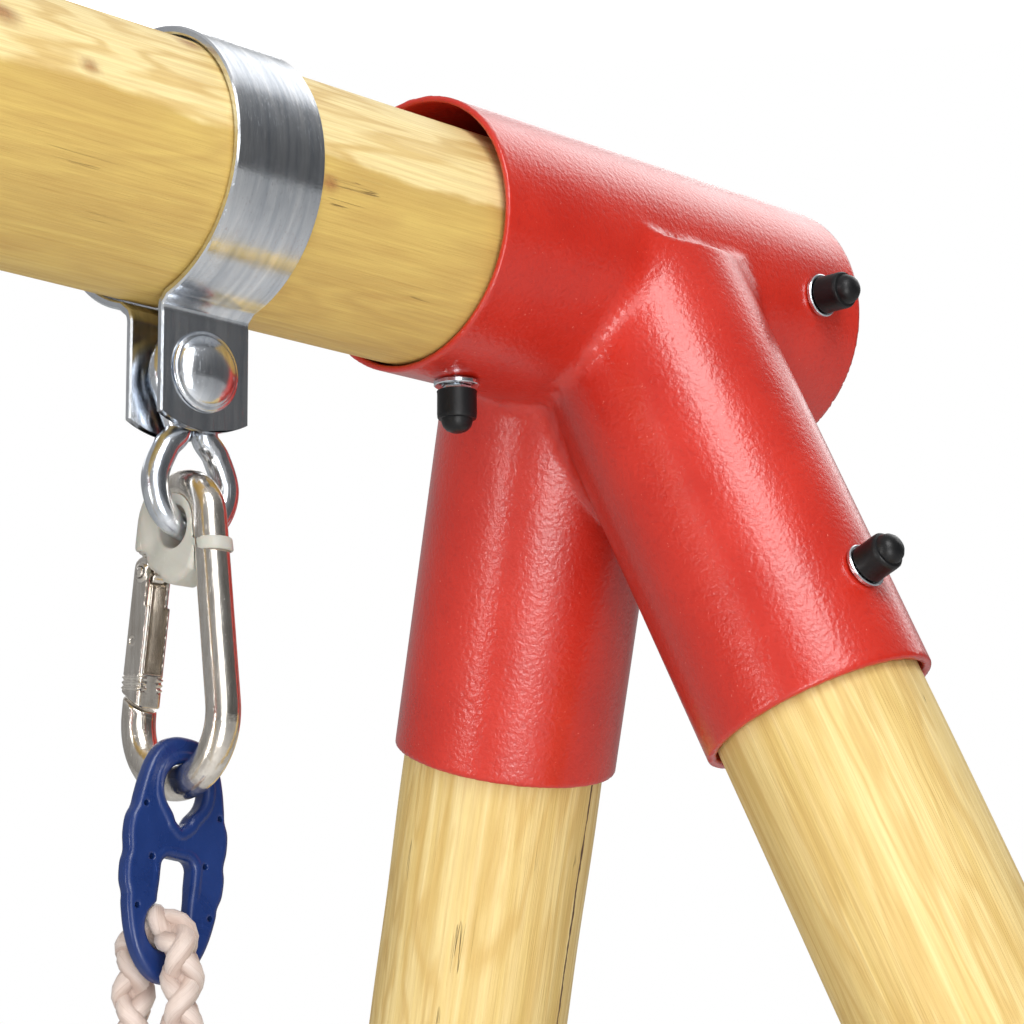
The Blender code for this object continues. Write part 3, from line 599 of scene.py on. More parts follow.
def skin(field, low, high, step):
    """The surface where a field is zero: one point in each cell it crosses, then moved onto the surface."""
    values, start = sampled(field, low, high, step)
    inside = values < 0
    corners = [(a, b, c) for a in (0, 1) for b in (0, 1) for c in (0, 1)]
    cells = [inside[a : a - 1 or None, b : b - 1 or None, c : c - 1 or None] for a, b, c in corners]
    filled = sum(cell.astype(np.int8) for cell in cells)
    crossed = (filled > 0) & (filled < 8)
    number = np.full(crossed.shape, -1)
    number[crossed] = np.arange(np.count_nonzero(crossed))
    place = np.argwhere(crossed)
    total, hits = np.zeros(place.shape), np.zeros(len(place))
    at_corner = {c: values[tuple((place + c).T)] for c in corners}
    for p in corners:
        for axis in range(3):
            if p[axis]:
                continue
            q = tuple(value + (index == axis) for index, value in enumerate(p))
            vp, vq = at_corner[p], at_corner[q]
            cut = (vp < 0) != (vq < 0)
            t = np.where(cut, vp / np.where(cut, vp - vq, 1), 0)
            point = np.array(p, float) + t[:, None] * (np.array(q) - np.array(p))
            total += np.where(cut[:, None], point, 0)
            hits += cut
    points = start + step * (place + total / hits[:, None])
    faces = skin_faces(inside, number)
    for _ in range(SKIN_PASSES):
        points = moved_on(field, points, step)
    return points, faces


def skin_faces(inside, number):
    faces = []
    for axis in range(3):
        one, two = [other for other in range(3) if other != axis]
        near = np.moveaxis(inside, (axis, one, two), (0, 1, 2))
        cells = np.moveaxis(number, (axis, one, two), (0, 1, 2))
        cut = near[:-1, 1:-1, 1:-1] != near[1:, 1:-1, 1:-1]
        i, j, k = np.nonzero(cut)
        corners = ((0, 0), (1, 0), (1, 1), (0, 1))
        loop = np.stack([cells[i, j + a, k + b] for a, b in corners], axis=1)
        flip = near[i, j + 1, k + 1] ^ (axis == 1)
        loop[~flip] = loop[~flip][:, ::-1]
        faces.append(loop)
    return np.concatenate(faces).tolist()


def moved_on(field, points, step):
    """One step of each point towards the zero of its field, no further than a third of a cell."""
    small = step * 0.05
    value = field(points)
    slope = np.stack([(field(points + small * unit) - value) / small for unit in np.eye(3)], axis=-1)
    move = -value[:, None] * slope / np.maximum((slope**2).sum(axis=1), 0.2)[:, None]
    length = np.linalg.norm(move, axis=1)[:, None]
    return points + move * np.minimum(1, step / 3 / np.maximum(length, 1e-9))


# ---- timber


def leg_direction(row):
    """Down along a right-hand leg; row is -1 for the front leg."""
    return unit(np.array((math.tan(LEG_SPLAY), row * math.tan(LEG_SPREAD), -1.0)))


LEG_JOINT = np.array((0.0, 0.0, LEG_JOINT_RISE))


def uneven(turn, along, seed, size):
    """Shallow waves and drawknife facets on a peeled log, never above its drawn radius."""
    rng = np.random.default_rng(seed)
    out = np.zeros(np.broadcast(turn, along).shape)
    for _ in range(9):
        waves, pitch, phase = rng.integers(1, 6), rng.uniform(60, 420), rng.uniform(0, 6.28)
        out += rng.uniform(0.03, 0.10) * np.cos(waves * turn + along / pitch * 6.28 + phase)
    facets = np.abs(np.sin(turn * 5.5 + 0.5 * np.sin(along / 90 + seed)))
    return -size * (0.45 + out + 0.25 * facets)


def log(name, start, direction, length, radius, dense, seed, knots, crack, material, body, node, cut_z=None):
    """A peeled log with closer rings over its dense stretch, small knots and stored grain."""
    sides = LOG_SIDES
    steps = [0.0]
    while steps[-1] < length:
        is_dense = dense[0] < steps[-1] < dense[1]
        steps.append(steps[-1] + (LOG_FINE_STEP if is_dense else LOG_COARSE_STEP))
    steps[-1] = length
    axis = np.array(direction)
    up = np.array((0.0, 0.0, 1.0)) if abs(axis[2]) < 0.5 else np.array((0.0, -1.0, 0.0))
    up = unit(up - axis * (up @ axis))
    across = np.cross(axis, up)
    along, turn = np.meshgrid(steps, around(sides), indexing="ij")
    girth = radius + uneven(turn, along, seed, 0.8)
    knotted = np.zeros(along.shape)
    for knot_along, knot_turn, knot_size in knots:
        away = np.angle(np.exp(1j * (turn - math.radians(knot_turn)))) * radius
        near = np.hypot((along - knot_along) / 1.5, away) / knot_size
        knotted = np.maximum(knotted, np.clip(1.35 - near, 0, 1))
        girth += 0.25 * np.exp(-(near**2)) - 0.15 * np.exp(-((near - 1.1) ** 2) * 12)
    girth = np.minimum(girth, radius)
    normal = np.cos(turn)[..., None] * up + np.sin(turn)[..., None] * across
    points = np.array(start) + along[..., None] * axis + girth[..., None] * normal
    if cut_z is not None:
        below = np.maximum(cut_z - points[..., 2], 0)
        points = points + axis * (below / axis[2])[..., None]
    points = points.reshape(-1, 3)
    faces = grid_faces(len(steps), sides)
    sides_only = len(faces)
    for start_of_ring, order in ((0, -1), (len(points) - sides, 1)):
        ring = [start_of_ring + j for j in range(sides)]
        middle = len(points)
        points = np.vstack([points, points[ring].mean(axis=0)])
        faces += [(ring[j], ring[(j + 1) % sides], middle)[::order] for j in range(sides)]
    obj = mesh_piece(name, points * MM, faces, material, body, [node], extra=("end_grain",))
    for polygon in obj.data.polygons[sides_only:]:
        polygon.material_index = 1
    obj.data.set_sharp_from_angle(angle=math.radians(50))
    turn, along = turn.ravel(), along.ravel()
    grain = np.stack([along + seed * 37, np.sin(turn) * radius, np.cos(turn) * radius], axis=1)
    away = np.angle(np.exp(1j * (turn - math.radians(crack[0])))) * radius
    fade = np.clip((along - crack[1]) / 12, 0, 1) * np.clip((crack[2] - along) / 25, 0, 1)
    line = np.stack([along * MM, away * MM, fade], axis=1)
    pad = np.zeros((2, 3))
    store(obj, "grain", np.vstack([grain * MM, pad]))
    store(obj, "crack", np.vstack([line, pad]))
    store(obj, "knot", np.concatenate([knotted.ravel(), (0, 0)]))


def make_timber():
    height = BEAM_HEIGHT / MM - BEAM_SETTLE
    beam_knots = (
        (628, 64, 4.0), (655, 78, 2.2), (700, 40, 3.2), (742, 98, 2.4), (596, 100, 3.0), (200, 80, 5.0)
    )
    leg_knots = ((240, 40, 4.5), (420, 200, 5.0), (760, 120, 5.5), (1150, 20, 5.0), (1500, 260, 6.0))
    log(
        "crossbeam_log", (-BEAM_HALF_LENGTH, 0, height), (1.0, 0.0, 0.0), 2 * BEAM_HALF_LENGTH, BEAM_RADIUS,
        (560, 840), 3, beam_knots, NO_CRACK, "pine", "frame", "crossbeam",
    )
    for side, word in SIDES:
        for row, name in ((-1, "front_leg"), (1, "rear_leg")):
            axis = leg_direction(row) * (side, 1, 1)
            joint = np.array((side * JOINT_X / MM, 0, BEAM_HEIGHT / MM + LEG_JOINT_RISE))
            length = joint[2] / -axis[2] + 14 - LEG_TOP
            crack = (-15.4 * side, 90, 420) if row > 0 else (250.0, 500, 900)
            seed = 11 + 2 * row + side
            log(
                f"{name}_log_{word}", joint + axis * LEG_TOP, axis, length, LEG_RADIUS, (60, 330), seed,
                leg_knots, crack, "pine_leg", "frame", f"{name}_{word}", cut_z=0.0,
            )


# ---- bracket


def screw_places():
    """Each screw of the right-hand bracket: its name, the point on the tube and the direction outwards."""
    places = [
        ("under", np.array((SCREW_UNDER_BEAM, 0, -MAIN_RADIUS)), np.array((0.0, 0, -1))),
        ("side", np.array((SCREW_BESIDE_BEAM, -MAIN_RADIUS, 0)), np.array((0.0, -1, 0))),
    ]
    for row, word in ((-1, "front_leg"), (1, "rear_leg")):
        along = leg_direction(row)
        out = np.array((0 if row < 0 else REAR_SCREW_TURN, row, 0.0))
        out = unit(out - along * (out @ along))
        places.append((word, LEG_JOINT + along * SCREW_ALONG_LEG + out * LEG_TUBE_RADIUS, out))
    return places


def weld_bead(one, other, points, pitch):
    """A rippled weld where two tubes' surfaces meet."""
    near = np.exp(-(one**2 + other**2) / 7.0)
    ripple = np.sin(points @ np.array((2.1, 0.6, 2.4)) / pitch * 2.4)
    lumps = np.sin(points @ np.array((0.31, 0.47, 0.22)) + 1.3)
    return near * (1.65 + 0.50 * ripple + 0.50 * lumps)


def bracket_field(points):
    """The welded bracket: three joined tubes with bores, rounded rims, weld beads and screw holes."""
    x, y, z = points[..., 0], points[..., 1], points[..., 2]
    main_outer = np.hypot(y, z) - MAIN_RADIUS
    main = smooth_max(smooth_max(main_outer, MAIN_ENDS[0] - x, 0.8), x - MAIN_ENDS[1], 0.8)
    shells, bore = [], np.hypot(y, z) - (MAIN_RADIUS - MAIN_WALL)
    for row in (-1, 1):
        outer, along = rod_field(points, LEG_JOINT, leg_direction(row), LEG_TUBE_RADIUS)
        shell = smooth_max(outer, along - LEG_TUBE_LENGTH, 0.9)
        shells.append(smooth_max(shell, z - LEG_TUBE_TOP, 0.8))
        hollow = np.maximum(outer + LEG_TUBE_WALL, z - LEG_BORE_TOP)
        bore = np.minimum(bore, np.maximum(hollow, 0.2 - main_outer))
    legs = smooth_min(shells[0], shells[1], 4.0) - weld_bead(shells[0], shells[1], points, 3.4)
    solid = smooth_min(main, legs, 1.8) - weld_bead(main, legs, points, 3.0)
    solid = smooth_max(solid, -bore, 0.7)
    for _, point, out in screw_places():
        hole, along = rod_field(points, point, out, SCREW_HOLE_RADIUS)
        solid = np.maximum(solid, -np.maximum(hole, np.abs(along) - 9))
    return solid


def make_brackets():
    low, high = (-84, -118, -198), (96, 118, 48)
    shape = skin(bracket_field, low, high, 1.2)
    pair("bracket", shape, JOINT_X, "red_powder_coat", "frame")


def make_caps():
    """The washers and the plastic covers over the screws' heads."""
    for name, point, out in screw_places():
        lower = 1.2 if name == "under" else 0.0
        washer = [(3.4, 0.0), (7.1, 0.0), (7.35, 0.3), (7.35, 1.3), (7.0, 1.6), (3.4, 1.6)]
        shape = lathe(washer, point + out * 0.3, out, 72)
        pair(f"washer_{name}", shape, JOINT_X, "zinc_plated_steel", "frame", sharp=35)
        profile = [
            (0.0, 13.7), (1.8, 13.5), (3.4, 12.8), (4.5, 11.6), (5.0, 10.2), (5.15, 9.4), (5.9, 9.2),
            (6.25, 8.7), (6.35, 7.5), (6.3, 0.7), (6.45, 0.25), (6.3, 0.0), (5.4, 0.0), (5.4, 5.0),
            (0.0, 5.0),
        ]
        shape = lathe([(radius, height + lower) for radius, height in profile], point + out * 2.2, out, 80)
        pair(f"cap_{name}", shape, JOINT_X, "black_plastic", "frame", sharp=38)


# ---- hanger hardware


def band_line():
    """(y, z) along the band's outer face: up the front ear, over the beam and down the rear ear."""
    outer = BAND_INNER_RADIUS + BAND_THICKNESS
    ear = EAR_INNER_FACE + BAND_THICKNESS
    ears = [(-ear, z) for z in np.linspace(-EAR_DROP, -EAR_BEND_DROP - 1.0, 26)]
    front = ears + [(-ear - 0.35, -EAR_BEND_DROP + 0.1), (-ear - 1.4, -EAR_BEND_DROP + 0.9)]
    over = arc((0, -BEAM_SETTLE), outer, 270 - 15.5, -90 + 15.5, 150)
    return np.array(front + over + [(-y, z) for y, z in reversed(front)])


def make_bands():
    """The clamp bands: one section with chamfered edges, swept along the line to round ears' ends."""
    line = band_line()
    tangent = unit(np.gradient(line, axis=0))
    inward = np.stack([tangent[:, 1], -tangent[:, 0]], axis=1)
    rows = []
    edge = 0.55
    samples = np.linspace(-1, 1, 21)[1:-1]
    loop = [(-1.0, edge, 0.0, -1), *[(u, 0.0, 0.0, 0) for u in samples], (1.0, edge, 0.0, 1)]
    loop += [(1.0, 0.0, edge, 1), (1.0, 0.0, BAND_THICKNESS - edge, 1), (1.0, edge, BAND_THICKNESS, 1)]
    loop += [(u, 0.0, BAND_THICKNESS, 0) for u in samples[::-1]]
    loop += [(-1.0, edge, BAND_THICKNESS, -1), (-1.0, 0.0, BAND_THICKNESS - edge, -1), (-1.0, 0.0, edge, -1)]
    centre = EAR_END_RADIUS - EAR_DROP
    for (y, z), (ny, nz) in zip(line, inward):
        ear = np.clip((-EAR_BEND_DROP + 2 - z) / 4, 0, 1)
        row = []
        for u, inset, depth, end in loop:
            x = u * BAND_HALF_WIDTH - end * inset
            x += ear * (0.75 * np.clip((1 - u) / 2, 0, 1) + 0.4 * np.clip((1 + u) / 2, 0, 1))
            low = centre - math.sqrt(EAR_END_RADIUS**2 - x * x)
            fraction = np.clip((-EAR_BEND_DROP - z) / (EAR_DROP - EAR_BEND_DROP), 0, 1)
            raised = z + fraction * (low + EAR_DROP)
            row.append((x, y + ny * depth, raised + nz * depth * (fraction == 0)))
        rows.append(row)
    points = np.array(rows).reshape(-1, 3)
    count = len(loop)
    faces = grid_faces(len(rows), count)
    faces += [tuple(range(count)), tuple(range(len(points) - count, len(points)))[::-1]]
    pair("band", (points, faces), HANGER_X, "zinc_plated_steel", "frame", sharp=30)


def make_bolts():
    face = EAR_INNER_FACE + BAND_THICKNESS + 0.2
    dome = [
        (0.0, 5.6), (2.0, 5.5), (4.0, 5.15), (6.0, 4.55), (7.8, 3.75), (9.3, 2.8), (10.3, 1.95),
        (10.55, 1.55), (11.4, 1.3), (11.85, 0.9), (BOLT_HEAD_RADIUS, 0.5), (11.9, 0.1), (11.7, 0.0),
        (BOLT_RADIUS, 0.0),
    ]
    dome = [(radius, face + height) for radius, height in dome]
    tip = -(face + 12.3)
    thread = []
    height = -(face - 0.2)
    while height > tip + 1.6:
        thread += [(BOLT_RADIUS - 0.05, height), (BOLT_RADIUS - 0.55, height - 0.55)]
        height -= 1.1
    shank = [*thread, (BOLT_RADIUS - 0.1, tip + 0.9), (BOLT_RADIUS - 1.0, tip), (0.0, tip)]
    shape = lathe(dome + shank, (0, 0, -BOLT_DROP), (0, -1, 0), 96)
    pair("carriage_bolt", shape, HANGER_X, "zinc_plated_steel", "frame", sharp=32)

    def nut_field(place):
        x, y, z = place[..., 0], place[..., 1] - face - 4.1, place[..., 2] + BOLT_DROP
        turns = np.radians((0, 60, 120))
        flats = np.maximum.reduce([np.abs(x * math.cos(turn) + z * math.sin(turn)) for turn in turns])
        radius = np.hypot(x, z)
        body = smooth_max(flats - 8.45, np.abs(y) - 4.0, 0.5)
        body = smooth_max(body, (radius * 0.5 + np.abs(y) * 0.87) - 8.0, 0.4)
        return np.maximum(body, 5.35 - radius)

    shape = skin(nut_field, (-11, face - 1, -BOLT_DROP - 11), (11, face + 9.2, -BOLT_DROP + 11), 0.5)
    pair("nut", shape, HANGER_X, "zinc_plated_steel", "frame", sharp=40)


def link_line():
    low_centre = LINK_BOTTOM_DROP - LINK_LOWER
    half = [
        (0, BOLT_DROP - LINK_UPPER),
        (0.72 * LINK_UPPER, BOLT_DROP - 0.70 * LINK_UPPER),
        (LINK_UPPER, BOLT_DROP),
        (0.80 * LINK_UPPER, BOLT_DROP + 0.66 * LINK_UPPER),
        (4.9, BOLT_DROP + 1.50 * LINK_UPPER),
        (0.72 * LINK_LOWER, low_centre - 0.74 * LINK_LOWER),
        (LINK_LOWER, low_centre),
        (0.71 * LINK_LOWER, low_centre + 0.71 * LINK_LOWER),
        (0, LINK_BOTTOM_DROP),
    ]
    shift_x, shift_y = LINK_SHIFT
    return [(across + shift_x, shift_y, -drop) for across, drop in both_halves(half)]


def make_links():
    path = smooth_through(link_line(), 12, closed=True)
    pair("eye_link", tube(path, LINK_RADIUS, 40, closed=True), HANGER_X, "zinc_plated_steel", "frame")


HOOK_RISE = (HOOK_BOTTOM_RADIUS - HOOK_TOP_RADIUS) / (HOOK_BOTTOM_DROP - HOOK_TOP_DROP)


def hook_side(distance):
    """(y, z) on the gate side's straight run, this far below its upper tangent point."""
    cosine = math.sqrt(1 - HOOK_RISE**2)
    y = HOOK_TOP_RADIUS * cosine + distance * HOOK_RISE
    return y, -(HOOK_TOP_DROP - HOOK_TOP_RADIUS * HOOK_RISE + distance * cosine)


def hook_line():
    """Along the snap hook's bar: from the gate's pin, over the top, down the back and up to the nose."""
    lean = math.degrees(math.asin(HOOK_RISE))
    line = [hook_side(GATE_PIN_ALONG - 6.2), hook_side(GATE_PIN_ALONG / 4)]
    line += arc((0, -HOOK_TOP_DROP), HOOK_TOP_RADIUS, lean, 180 - lean, 26)
    line += arc((HOOK_BEND_SHIFT, -HOOK_BOTTOM_DROP), HOOK_BEND_RADIUS, 180 - lean, 360 + lean, 34)
    line.append(hook_side(GATE_PIN_ALONG + GATE_END - 2.0))
    return np.array([(0.0, y, z) for y, z in line])


PIN_Y, PIN_Z = hook_side(GATE_PIN_ALONG)
GATE_AXIS = np.array((0.0, *(np.array(hook_side(1.0)) - np.array(hook_side(0.0)))))
GATE_OUT = np.array((0.0, -GATE_AXIS[2], GATE_AXIS[1]))


def gate_frame(points):
    """Across, outwards and along coordinates from the gate's pin."""
    offset = points - np.array((0.0, PIN_Y, PIN_Z))
    return offset[..., 0], offset @ GATE_OUT, offset @ GATE_AXIS


def hook_field(points):
    """The hook: a round bar whose end is flattened into a tongue between the gate's cheeks."""
    bar = path_field(points, hook_line(), HOOK_RADIUS)
    across, out, along = gate_frame(points)
    bar = smooth_max(bar, np.where(np.hypot(out, along) < 16, along + 5.3, -9.0), 0.8)
    nose = np.where((along > 25) & (out > -9), GATE_END + 0.5 - 0.5 * out - along, -9.0)
    bar = smooth_max(bar, nose, 0.8)
    reach = np.hypot(out, np.maximum(along, 0) + np.minimum(along + 7, 0)) - 3.4
    tongue = smooth_max(reach, np.abs(across) - 2.3, 0.5)
    return smooth_min(bar, tongue, 0.7)


def gate_field(points):
    """The sprung gate: folded sheet with its open side inwards, round cheeks on the pin and a ribbed foot."""
    across, out, along = gate_frame(points)
    box = smooth_max(np.abs(across) - CHEEK_HALF_WIDTH, np.abs(out) - CHEEK_RADIUS, 2.0)
    head = np.hypot(out, np.minimum(along, 0)) - CHEEK_RADIUS
    body = smooth_max(smooth_max(box, head, 0.7), along + 0.5 * out - GATE_END + 0.4, 0.6)
    channel = smooth_max(np.abs(across) - 3.15, out - 3.75, 0.8)
    channel = np.maximum(channel, along - 29.0)
    step_in = np.maximum.reduce([np.abs(across) - 6.0, out + 2.6, along - 9.5])
    body = smooth_max(smooth_max(body, -channel, 0.5), -step_in, 0.4)
    rib = 0.22 * np.cos(np.clip((along - 32.0) / 1.5, -1.5, 1.5) * 6.283) * (np.abs(along - 32.0) < 2.25)
    body = body - rib * (np.abs(across) > 2.0)
    rivet = smooth_max(np.hypot(out, along) - 2.6, np.abs(across) - 5.2, 0.6)
    body = np.maximum(smooth_min(body, rivet, 0.5), -channel)
    dimple = np.hypot(out - 1.2, along - 20.0) - 1.2
    body = smooth_max(body, -np.maximum(dimple, CHEEK_HALF_WIDTH - 0.3 - np.abs(across)), 0.3)
    return np.maximum(body, -(np.hypot(out, along) - 1.7))


def thimble_field(points):
    """The nylon liner: a plate in the hook's top loop, a sleeve on its gate side and a collar on its back."""
    x, y, z = points[..., 0], points[..., 1], points[..., 2]
    outline = [
        (10.0, -98.5), (12.5, -106.0), (12.8, -113.0), (10.4, -118.6), (5.6, -121.6), (3.6, -123.6),
        (0.0, -124.8), (-3.6, -123.8), (-8.5, -121.5), (-11.5, -115.0), (-11.2, -106.0), (-8.0, -98.5),
        (0.0, -95.2),
    ]
    body = plate_field(outline_field(y, z, outline), x, 5.0, 1.6)
    line = hook_line()
    top = line[(line[:, 2] > hook_side(4.0)[1]) & (line[:, 1] > -3)]
    sleeve = path_field(points, np.vstack([[(0.0, *hook_side(6.0))], top]), 6.2)
    sleeve = smooth_max(sleeve, z + 95.5 + 0.55 * (12.0 - y), 1.0)
    sleeve = smooth_max(sleeve, gate_frame(points)[2] + 5.9, 0.8)
    body = smooth_min(body, sleeve, 1.4)
    spine = line[(line[:, 1] < -5) & (line[:, 2] < -104)][:2]
    collar, _ = rod_field(points, spine[0], unit(spine[1] - spine[0]), 5.55)
    body = smooth_min(body, smooth_max(collar, np.abs(z + 114.6) - 2.0, 0.7), 0.5)
    body = np.maximum(body, -path_field(points, line, HOOK_RADIUS + 0.15))
    hole = np.hypot(y - LINK_SHIFT[1] / 2, z + LINK_BOTTOM_DROP - 0.4) - LINK_RADIUS - 2.3
    return smooth_max(body, -hole, 0.9)


def make_hooks():
    step = 0.5
    shape = skin(hook_field, (-7, -26, -189), (7, 28, -89), step)
    pair("snap_hook", shape, HANGER_X, "nickel_plated_steel", "hook_{}", sharp=45)
    low_y, low_z = hook_side(GATE_PIN_ALONG + GATE_END)
    shape = skin(gate_field, (-7, 5, low_z - 4), (7, low_y + 8, PIN_Z + 6), step * 0.8)
    pair("gate", shape, HANGER_X, "nickel_plated_steel", "gate_{}", sharp=45)
    shape = skin(thimble_field, (-8, -21, -127), (8, 21, -92), step)
    pair("thimble", shape, HANGER_X, "white_nylon", "hook_{}", sharp=50)
    pin = [(0.0, 5.7), (0.9, 5.6), (1.5, 5.4), (1.6, 5.2), (1.3, 5.1)]
    pin += [(radius, -height) for radius, height in reversed(pin)]
    shape = lathe(pin, (0, PIN_Y, PIN_Z), (1, 0, 0), 32)
    pair("gate_pin", shape, HANGER_X, "nickel_plated_steel", "hook_{}")


# ---- rope ring


def ring_outline():
    """The rope ring's outline, with three scallops a side: (half width, drop) from its top to its foot."""
    half = [
        (0.0, 168.5), (5.0, 169.0), (9.5, 171.2), (13.0, 175.5), (15.2, 181.0), (16.6, 186.8),
        (17.2, 190.0), (18.8, 193.5), (19.1, 198.5), (18.4, 203.0), (19.1, 206.5), (18.8, 211.5),
        (17.4, 215.0), (17.1, 218.0), (15.5, 224.0), (13.0, 229.5), (9.5, 234.0), (5.0, 237.2), (0.0, 238.2),
    ]
    half = [(across * RING_NARROWER, -drop) for across, drop in half]
    return both_halves(half)


RING_LOOP = smooth_through(ring_outline(), 4, closed=True)


def ring_frame(points):
    """Across, depth and height in the plane of the tilted ring."""
    x, z = points[..., 0], points[..., 2] + RING_PIVOT_DROP
    cosine, sine = math.cos(RING_TILT), math.sin(RING_TILT)
    return x * cosine - z * sine, points[..., 1], x * sine + z * cosine - RING_PIVOT_DROP


def ring_holes(across, up):
    """Flat fields of the round eye with its pointed foot, and of the rope's slot."""
    eye = np.hypot(across, up + 183.4) - RING_EYE_RADIUS
    point = [(4.4, -188.5), (2.2, -192.6), (0.0, -194.3), (-2.2, -192.6), (-4.4, -188.5)]
    foot = outline_field(across, up, point)
    slot = np.maximum(np.abs(across) - 5.6, up + 206.0)
    end = np.hypot(np.maximum(np.abs(across) - RING_SLOT_RADIUS, 0), up + 206.0) - RING_SLOT_RADIUS
    slot = np.minimum(slot, end)
    return smooth_min(eye, foot, 1.0), np.maximum(slot, -224.0 - up)


def ring_field(points):
    """The moulding: a scalloped plate with a raised lip round the eye and the slot, and small pin holes."""
    across, depth, up = ring_frame(points)
    edge = outline_field(across, up, RING_LOOP)
    eye, slot = ring_holes(across, up)
    flat = np.maximum(edge, -np.minimum(eye, slot))
    raised = 0.55 * (np.abs(eye - 1.6) < 1.9) * np.clip(2.2 - np.abs(eye - 1.5), 0, 1)
    raised = raised + 0.35 * np.clip(1.9 - np.abs(slot - 1.3), 0, 1) * np.clip((up + 214) / 4, 0, 1)
    raised = raised - 0.55
    body = plate_field(flat, depth, RING_THICKNESS / 2 + raised, 1.9)
    for height, wide in ((-189.5, 13.4), (-203.9, 9.6), (-218.1, 13.0)):
        hole = np.hypot(np.abs(across) - wide, up - height) - 0.85
        body = smooth_max(body, -hole, 0.3)
    room = path_field(points, rope_path_top(), 6.75)
    return smooth_max(body, -room, 0.5)


def make_rings():
    step = 0.45
    shape = skin(ring_field, (-27, -5, -241), (21, 5, -166), step)
    pair("rope_ring", shape, HANGER_X, "blue_plastic", "line_{}", sharp=50)


# ---- rope


def rope_route():
    """Millimetres from the tube's axis: the front knot, up through the seat, over the ring and down again."""
    seat = SEAT_TOP - BEAM_HEIGHT / MM
    top = -ROPE_TOP_DROP
    foot = seat - SEAT_THICKNESS - KNOT_DROP + 0.3
    front = [
        (-SEAT_HOLE_Y, foot), (-SEAT_HOLE_Y, seat), (-SEAT_HOLE_Y + 0.2, seat + 20), (-56.0, seat + 140),
        (-50.0, seat + 300), (-44.0, seat + 450), (-38.0, seat + 600), (-32.5, seat + 750),
        (-27.0, seat + 900), (-21.5, seat + 1050), (-16.5, seat + 1180), (-12.8, top - 90), (-10.8, top - 30),
    ]
    line = front + arc((0, top), ROPE_TOP_RADIUS, 180, 0, 11) + [(-y, z) for y, z in reversed(front)]
    lean = -ROPE_X_SHIFT / (top - seat)
    return np.array([(lean * min(max(z - seat, 0), top - seat), y, z) for y, z in line])


def rope_path_top():
    route = rope_route()
    return route[route[:, 2] > -ROPE_TOP_DROP - 50]


def even_steps(path, step):
    """Points along a path at an even spacing."""
    length = np.concatenate([[0], np.cumsum(np.linalg.norm(np.diff(path, axis=0), axis=1))])
    wanted = np.arange(0, length[-1], step)
    return np.stack([np.interp(wanted, length, path[:, axis]) for axis in range(3)], axis=1), wanted


def braid(path, step, size=1.0, side_axis=(1.0, 0.0, 0.0), sides=10):
    """Four plaited strands along a path: (points, faces, stored grain). Two wind each way, over and under."""
    middle, along = even_steps(smooth_through(path, 8), step)
    first, second = frames_along(middle, side_axis)
    blocks, faces, grain = [], [], []
    turn = around(sides)
    for strand in range(4):
        way = 1 if strand < 2 else -1
        phase = math.pi * (strand % 2) + (math.pi / 2 if way < 0 else 0)
        twist = 2 * math.pi * along / (STRAND_PITCH * size)
        angle = way * twist + phase
        reach = (STRAND_REACH + way * STRAND_SWAY * np.sin(2 * twist)) * size
        radial = first * np.cos(angle)[:, None] + second * np.sin(angle)[:, None]
        line = middle + radial * reach[:, None]
        tangent = unit(np.gradient(line, axis=0))
        outward = unit(radial - tangent * (radial * tangent).sum(axis=1)[:, None])
        sideways = np.cross(tangent, outward)
        ring = sideways[:, None] * (STRAND_HALF_WIDTH * size * np.cos(turn))[None, :, None]
        ring = ring + outward[:, None] * (STRAND_HALF_DEPTH * size * np.sin(turn))[None, :, None]
        start = len(line) * sides * strand
        last = start + (len(line) - 1) * sides
        blocks.append((line[:, None] + ring).reshape(-1, 3))
        faces += grid_faces(len(line), sides, first=start)
        faces += [tuple(range(start, start + sides))[::-1], tuple(range(last, last + sides))]
        s, t = np.meshgrid(along * MM, np.sin(turn) * 0.0006 + np.cos(turn) * 0.003, indexing="ij")
        grain.append(np.stack([s.ravel(), t.ravel(), np.full(s.size, 0.1 * strand)], axis=1))
    # A thin core tube fills the gaps between strands. Its stored grain is its place in metres, which mostly
    # lies past the strands' edges, so the shader paints it in the dark strand shade: painted shade inside the
    # braid.
    core, core_faces = tube(middle, ROPE_CORE_RADIUS * size, 12, side_axis=side_axis)
    start = 4 * len(middle) * sides
    faces += [tuple(start + index for index in face) for face in core_faces]
    grain.append(core * MM)
    return np.concatenate([*blocks, core]), faces, np.concatenate(grain)


def knot_path(y, foot):
    """An overhand knot pulled tight, with a short tail."""
    turn = around(12)
    x = (np.sin(turn) + 1.5 * np.sin(2 * turn)) * 2.9
    deep = (np.cos(turn) - 1.5 * np.cos(2 * turn)) * 2.9
    z = -12.5 - 5.6 * np.sin(3 * turn) + (turn / 6.283 - 0.5) * -6
    body = np.stack([x, deep + y, foot + z], axis=1)
    start = np.array([(0, y, foot + 0.5), (0.5, y, foot - 3.0)])
    tail = np.array([(1.0, y, foot - 24.0), (1.6, y + 0.6, foot - 31.5)])
    return np.vstack([start, body, tail])


